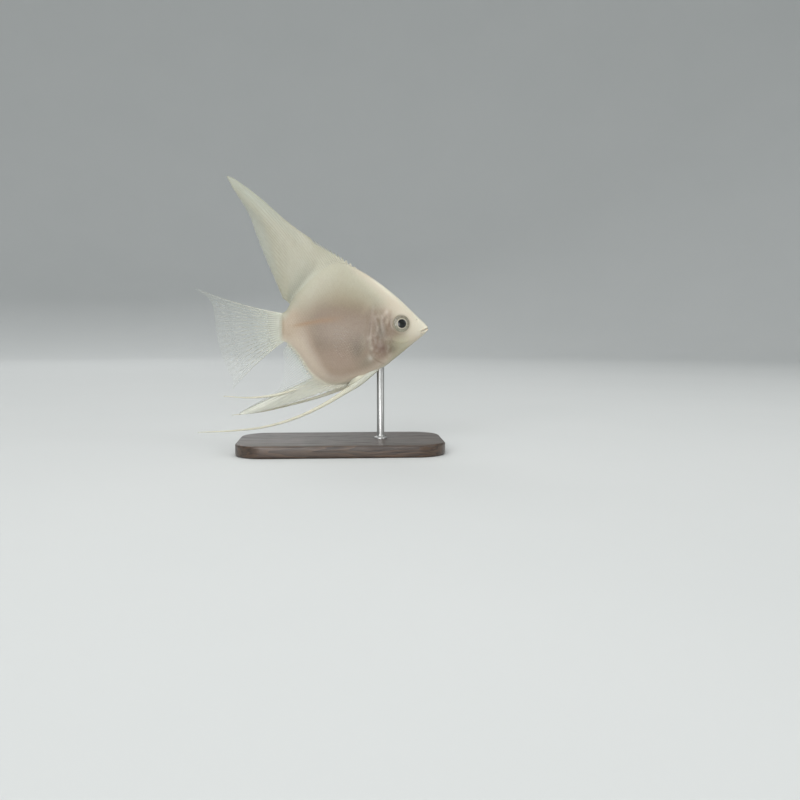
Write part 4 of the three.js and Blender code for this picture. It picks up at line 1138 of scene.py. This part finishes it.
# Pelvic fins: a spine and a long first ray drawn out into a filament, with a small fan behind it.
FILAMENT_NEAR = [
    [0, 8.6, 1.5, -16.9], [0.1, 2.2, 2.6, -22.2], [0.2, -4.2, 3.4, -26.2], [0.34, -13.6, 4.4, -31.8],
    [0.5, -24.8, 5.2, -36.8], [0.68, -37, 5.4, -40.2], [0.84, -50, 5.0, -41.7], [1, -63.7, 4.2, -42.3],
]
FILAMENT_FAR = [
    [0, 8.6, 1.5, -16.9], [0.12, 2.0, 2.6, -21.8], [0.25, -5, 3.2, -25.0], [0.42, -14.6, 3.9, -28.6],
    [0.6, -25.2, 4.3, -31.6], [0.8, -38, 4.2, -34.6], [1, -51, 3.6, -36.2],
]
ANAL_FILAMENT = [
    [0, -24.2, -0.9, -25.4], [0.3, -33, -1, -27.7], [0.65, -43.5, -1.2, -28.6], [1, -53.5, -1.5, -27.9],
]
FILAMENT_CREAM = linear(214, 210, 188)
PELVIC_RAYS, FAN_END = 7, 0.2  # rays of the fan, and the place along the filament where it ends


def strand(path, wide, thick, tint, steps=120, sides=16, groove=0.22):
    """A flat strand: an ellipse carried along the path, wide across it in side view and thick sideways,
    with a groove down the middle of each flat, where the spine and the ray lie against each other."""
    t = np.linspace(0, 1, steps)
    middle = path(t)
    ahead = np.gradient(middle, axis=0)
    length = np.hypot(ahead[:, 0], ahead[:, 2])
    across = np.stack([-ahead[:, 2] / length, 0 * t, ahead[:, 0] / length], axis=-1)
    angle = 2 * np.pi * np.arange(sides) / sides
    flat = np.sin(angle) * (1 - groove * bell(np.cos(angle), 0.3))
    rings = (
        middle[:, None, :] + across[:, None, :] * (wide(t)[:, None] / 2 * np.cos(angle))[..., None]
        + np.array([0, 1, 0]) * (thick(t)[:, None] / 2 * flat)[..., None]
    )
    beside = np.broadcast_to(np.cos(angle) * 0.5, (steps, sides))
    uv = np.stack([beside, np.repeat(run_along(middle)[:, None], sides, 1)], axis=-1)
    return tube_patch(rings, np.repeat(tint(t)[:, None, :], sides, axis=1), uv)


def pelvic_patches(side, rows):
    """The filament and the fan behind it, whose first ray lies inside the filament."""
    spline = curve_through(rows)
    path = lambda t: spline(t) * [1, side, 1]
    wide = line_through([[0, 2.4], [0.1, 2.5], [0.22, 2.0], [0.34, 1.45], [0.6, 1.0], [0.9, 0.55], [1, 0.2]])
    thick = line_through([[0, 1.4], [0.2, 1.0], [0.6, 0.6], [0.9, 0.4], [1, 0.2]])
    solid = lambda t: fin_tint([(FILAMENT_CREAM, 1), (FIN_BAND, smooth_step(0.3, 0.05, t))], 1 - 0.15 * t)
    start = path(np.array(FAN_END))
    fan = Fin(
        PELVIC_RAYS, lambda s: np.stack([mix(8.2, 3.2, s), mix(-17.2, -18.9, s)], axis=-1),
        curve_through([[0, start[0], start[2]], [0.35, -2.9, -23.7], [0.7, -2.4, -22.4], [1, -1.6, -21.3]]),
        line_through([[0, 219], [0.35, 214], [1, 208]]), lambda s, r: path(FAN_END * r)[..., 1],
    )
    fan_tint = lambda s, r: fin_tint([(FILAMENT_CREAM, 1)], 0.95 - 0.35 * smooth_step(0.5, 1, r))
    return (
        strand(path, wide, thick, solid),
        membrane(fan, fan_tint, lambda s: 0.05 + 0 * s, half=0.14, flare=0.3, rows=30, seed=5),
        rays(fan, ray_tint(0.95, 0.6, FIN_BAND), 0.16, steps=16),
    )


PADDLE_X, PADDLE_Z, PADDLE_HALF = 3.6, -5.6, 1.9  # the root's middle, and half its height
PADDLE_SWING, PECTORAL_RAYS = 30, 12  # degrees by which a paddle stands out from the flank, and its rays
PADDLE_MARGIN = [
    [0, 12.6, 6.2], [0.12, 14, 4.2], [0.35, 14, -0.6], [0.6, 12.4, -4.8], [0.82, 9.6, -7.2], [1, 7, -7.6],
]


def pectoral_fin(side):
    """A paddle of clear skin that stands out backwards from the flank behind the gill cover."""
    swing = np.radians(PADDLE_SWING)
    surface = flank_y(PADDLE_X, PADDLE_Z)

    def carry(points):
        along, off, up = points[..., 0], points[..., 1], points[..., 2]
        return np.stack([
            PADDLE_X - along * np.cos(swing) - off * np.sin(swing),
            side * (surface + along * np.sin(swing) - off * np.cos(swing)), PADDLE_Z + up,
        ], axis=-1)

    return Fin(
        PECTORAL_RAYS, lambda s: np.stack([0 * s - ROOT_DEPTH, mix(PADDLE_HALF, -PADDLE_HALF, s)], axis=-1),
        curve_through(PADDLE_MARGIN), lambda s: mix(24.0, -42.0, s),
        lambda s, r: 1.1 * r**2 * np.sin(np.pi * s), carry,
    )


def pectoral_tint(paddle):
    """Clear skin with fine pale rays, a little milky at the root."""
    def tint(s, r):
        solid = 0.015 + 0.10 * ray_ridge(paddle, s) * (1 - 0.6 * r) + 0.08 * bell(r, 0.1)
        return fin_tint([(PADDLE_CLEAR, 1)], solid)
    return tint


# ---------------------------------------------------------------- stand

BASE_CORNER, BASE_ROUND = 12.0, 0.9
ROD_SUNK = 0.9  # how far the rod runs on into the breast
base_high = np.array(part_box("stand_base"))[1] / MM
rod_low, rod_high = np.array(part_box("stand_rod")) / MM


def rounded_rectangle(half_x, half_y, corner, per_corner=18):
    """Points round a rectangle whose corners are quarter circles."""
    arcs = []
    for k, (sx, sy) in enumerate(((1, 1), (-1, 1), (-1, -1), (1, -1))):
        angle = np.linspace(0, np.pi / 2, per_corner) + k * np.pi / 2
        centre = np.array([sx * (half_x - corner), sy * (half_y - corner)])
        arcs.append(centre + corner * np.stack([np.cos(angle), np.sin(angle)], axis=-1))
    return np.concatenate(arcs)


def base_patch():
    """The stand's board: a rounded rectangle drawn in on a quarter circle at its top and bottom edges."""
    half_x, half_y, top = base_high
    angle = np.linspace(0, np.pi / 2, 9)
    near, far = BASE_ROUND * (1 - np.sin(angle)), BASE_ROUND * (1 - np.cos(angle))
    inset = np.concatenate([[14.0, 5.0], near, far, [5.0, 14.0]])
    level = np.concatenate([[0, 0], far, top - near, [top, top]])
    rings = []
    for inward, z in zip(inset, level):
        ring = rounded_rectangle(half_x - inward, half_y - inward, max(0.5, BASE_CORNER - inward))
        rings.append(np.column_stack([ring, np.full(len(ring), z)]))
    return tube_patch(np.array(rings) - FISH_AT)


def rod_patch():
    """The rod: a turned profile with a low collar on the board, up into the breast."""
    radius = (rod_high[0] - rod_low[0]) / 2
    centre_x = (rod_high[0] + rod_low[0]) / 2
    top, board = rod_high[2] + ROD_SUNK, base_high[2]
    profile = [
        (board - 0.6, radius + 1.15), (board + 0.35, radius + 1.15), (board + 0.62, radius + 0.98),
        (board + 0.72, radius + 0.55), (board + 0.9, radius + 0.18), (board + 1.2, radius + 0.03),
        (board + 1.8, radius), (top - 0.1, radius), (top, radius - 0.12),
    ]
    angle = circle(72)
    rings = np.array([
        np.stack([centre_x + r * np.cos(angle), r * np.sin(angle), 0 * angle + z], axis=-1)
        for z, r in profile
    ])
    return tube_patch(rings - FISH_AT)


# ---------------------------------------------------------------- the pieces

head_paint = skin_material("living_skin", 0.40, 0.00001, 0.3)
scale_paint = skin_material("scaled_skin", 0.36, 0.000006, 0.0)
fin_paint = fin_material("fin_skin", 0.42, 0.35)
ray_paint = ray_material("fin_ray")
filament_paint = fin_material("filament_skin", 0.38, 0.35)
eye_paint = eye_material()
wood_paint, steel_paint = wood_material(), steel_material()


def fin_pieces(fin, node, skin, threads, ending=""):
    """A fin's skin and its rays, as two pieces."""
    make_piece(f"{fin}_membrane{ending}", skin, fin_paint, [node])
    make_piece(f"{fin}_rays{ending}", threads, ray_paint, [node])


def notched(spiny_share, depth):
    """How far the margin is drawn in: by depth between the spines, and hardly at all between the soft
    rays."""
    return lambda s: np.where(s < spiny_share, depth, 0.012)


make_piece("fish_skin", fish_skin(), head_paint, ["head", "trunk", "tail_stalk"])
for word, side in (("left", 1), ("right", -1)):
    make_piece(f"scales_{word}", scale_coat(side), scale_paint)
    make_piece(f"eyeball_{word}", eye_patch(side), eye_paint, [f"eye_{word}"])

fin_pieces(
    "dorsal", "dorsal_fin",
    membrane(dorsal, dorsal_tint, notched(DORSAL_SPINES / DORSAL_RAYS, 0.21), seed=11,
             flesh=fleshy_base(dorsal, back_z, DORSAL_DEPTH, 3.7)),
    rays(dorsal, ray_tint(0.9, 0.5, FIN_CREAM), 0.14),
)
fin_pieces(
    "anal", "anal_fin",
    membrane(anal, anal_tint, notched(ANAL_SPINES / ANAL_RAYS, 0.08), per_ray=8, seed=12,
             flesh=fleshy_base(anal, belly_z, ANAL_DEPTH, 3.2)),
    rays(anal, anal_ray_tint, 0.16, last=15),
)
make_piece(
    "anal_filament",
    strand(curve_through(ANAL_FILAMENT), line_through([[0, 0.3], [0.2, 1.1], [0.5, 0.85], [1, 0.3]]),
           line_through([[0, 0.3], [0.2, 0.7], [0.5, 0.55], [1, 0.25]]),
           lambda t: fin_tint([(FILAMENT_CREAM, 1)], 0.95 - 0.3 * t), 90, 12),
    filament_paint, ["anal_fin"],
)
fin_pieces(
    "caudal", "caudal_fin",
    membrane(caudal, caudal_tint, lambda s: 0.02 + 0 * s, flare=0.12, fade=4.0, per_ray=10, seed=13),
    rays(caudal, ray_tint(0.95, 0.28, CAUDAL_WHITE), 0.21, spread=0.8),
)
for word, side, rows in (("left", 1, FILAMENT_FAR), ("right", -1, FILAMENT_NEAR)):
    filament, fan, fan_rays = pelvic_patches(side, rows)
    node = f"pelvic_fin_{word}"
    make_piece(f"pelvic_filament_{word}", filament, filament_paint, [node])
    fin_pieces("pelvic", node, fan, fan_rays, f"_{word}")
    paddle = pectoral_fin(side)
    node = f"pectoral_fin_{word}"
    make_piece(
        f"pectoral_paddle_{word}",
        membrane(paddle, pectoral_tint(paddle), lambda s: 0.03 + 0 * s, half=0.1, flare=0.15,
                 per_ray=10, rows=40, seed=15, sunk=0.75),
        fin_paint, [node],
    )

make_piece("stand_board", base_patch(), wood_paint, ["stand_base"])
make_piece("stand_post", rod_patch(), steel_paint, ["stand_rod"])

# ---------------------------------------------------------------- stage, lights and camera

CAMERA_AT = Vector((-0.000165, -0.370, 0.05162))
CAMERA_YAW, CAMERA_PITCH = 3.81, -4.75  # degrees to the right of +Y, and up


def backdrop():
    """Floor and walls in one sheet, turned about the stand: level underneath, then up on a quarter
    circle."""
    floor, bend, wall = 1.1, 0.7, 2.4
    rise = np.linspace(0, np.pi / 2, 24)
    radius = np.concatenate([[0.001, 0.4], floor + bend * np.sin(rise), [floor + bend]])
    z = np.concatenate([[0, 0], bend * (1 - np.cos(rise)), [wall]])
    angle = circle(120)
    points = np.stack([
        radius[:, None] * np.cos(angle), radius[:, None] * np.sin(angle), z[:, None] + 0 * angle,
    ], axis=-1)
    index = np.arange(points.shape[0] * len(angle)).reshape(-1, len(angle))
    onward = np.roll(index, -1, axis=1)
    quads = np.stack([index[:-1], index[1:], onward[1:], onward[:-1]], axis=-1).reshape(-1, 4)
    mesh = bpy.data.meshes.new("backdrop")
    mesh.from_pydata(points.reshape(-1, 3), [], [index[0].tolist()] + quads.tolist())
    mesh.polygons.foreach_set("use_smooth", np.full(len(quads) + 1, True))
    mesh.materials.append(backdrop_material())
    sheet = bpy.data.objects.new("backdrop", mesh)
    bpy.context.scene.collection.objects.link(sheet)


def soft_box(name, at, toward, size, power, colour=(1, 1, 1), spread=180):
    """A square lamp at a place, turned toward another, unseen by the camera."""
    light = bpy.data.lights.new(name, "AREA")
    light.shape, light.size, light.energy, light.color = "SQUARE", size, power, colour
    light.spread = np.radians(spread)
    lamp = bpy.data.objects.new(name, light)
    lamp.location = at
    lamp.visible_camera = False
    lamp.rotation_euler = (Vector(toward) - Vector(at)).to_track_quat("-Z", "Y").to_euler()
    bpy.context.scene.collection.objects.link(lamp)


backdrop()
soft_box("overhead", (0.05, -0.15, 0.90), (0, 0, 0.05), 0.9, 3.4, (1.0, 0.985, 0.95))
soft_box("front_fill", (-0.50, -0.98, 0.60), (0, 0, 0.05), 0.7, 5.6, (0.97, 0.985, 1.0))
soft_box("side_fill", (0.90, -0.52, 0.46), (0, 0, 0.05), 0.5, 2.2)
soft_box("back_fill", (-0.35, 0.95, 0.75), (0, 0, 0.05), 0.8, 3.6)
soft_box("low_fill", (-0.05, -0.42, 0.02), (0, 0, 0.06), 0.25, 0.28, spread=70)

scene = bpy.context.scene
world = bpy.data.worlds.new("studio")
world.use_nodes = True
world.node_tree.nodes["Background"].inputs["Color"].default_value = (0.86, 0.90, 0.92, 1)
world.node_tree.nodes["Background"].inputs["Strength"].default_value = 0.61
scene.world = world
scene.view_settings.view_transform = "Standard"

camera = bpy.data.cameras.new("camera")
camera.sensor_width, camera.lens = 36.0, 40.5
camera.clip_start, camera.clip_end = 0.01, 20.0
viewer = bpy.data.objects.new("camera", camera)
viewer.location = CAMERA_AT
viewer.rotation_euler = (np.radians(90 + CAMERA_PITCH), 0, -np.radians(CAMERA_YAW))
scene.collection.objects.link(viewer)
scene.camera = viewer

bpy.context.view_layer.update()
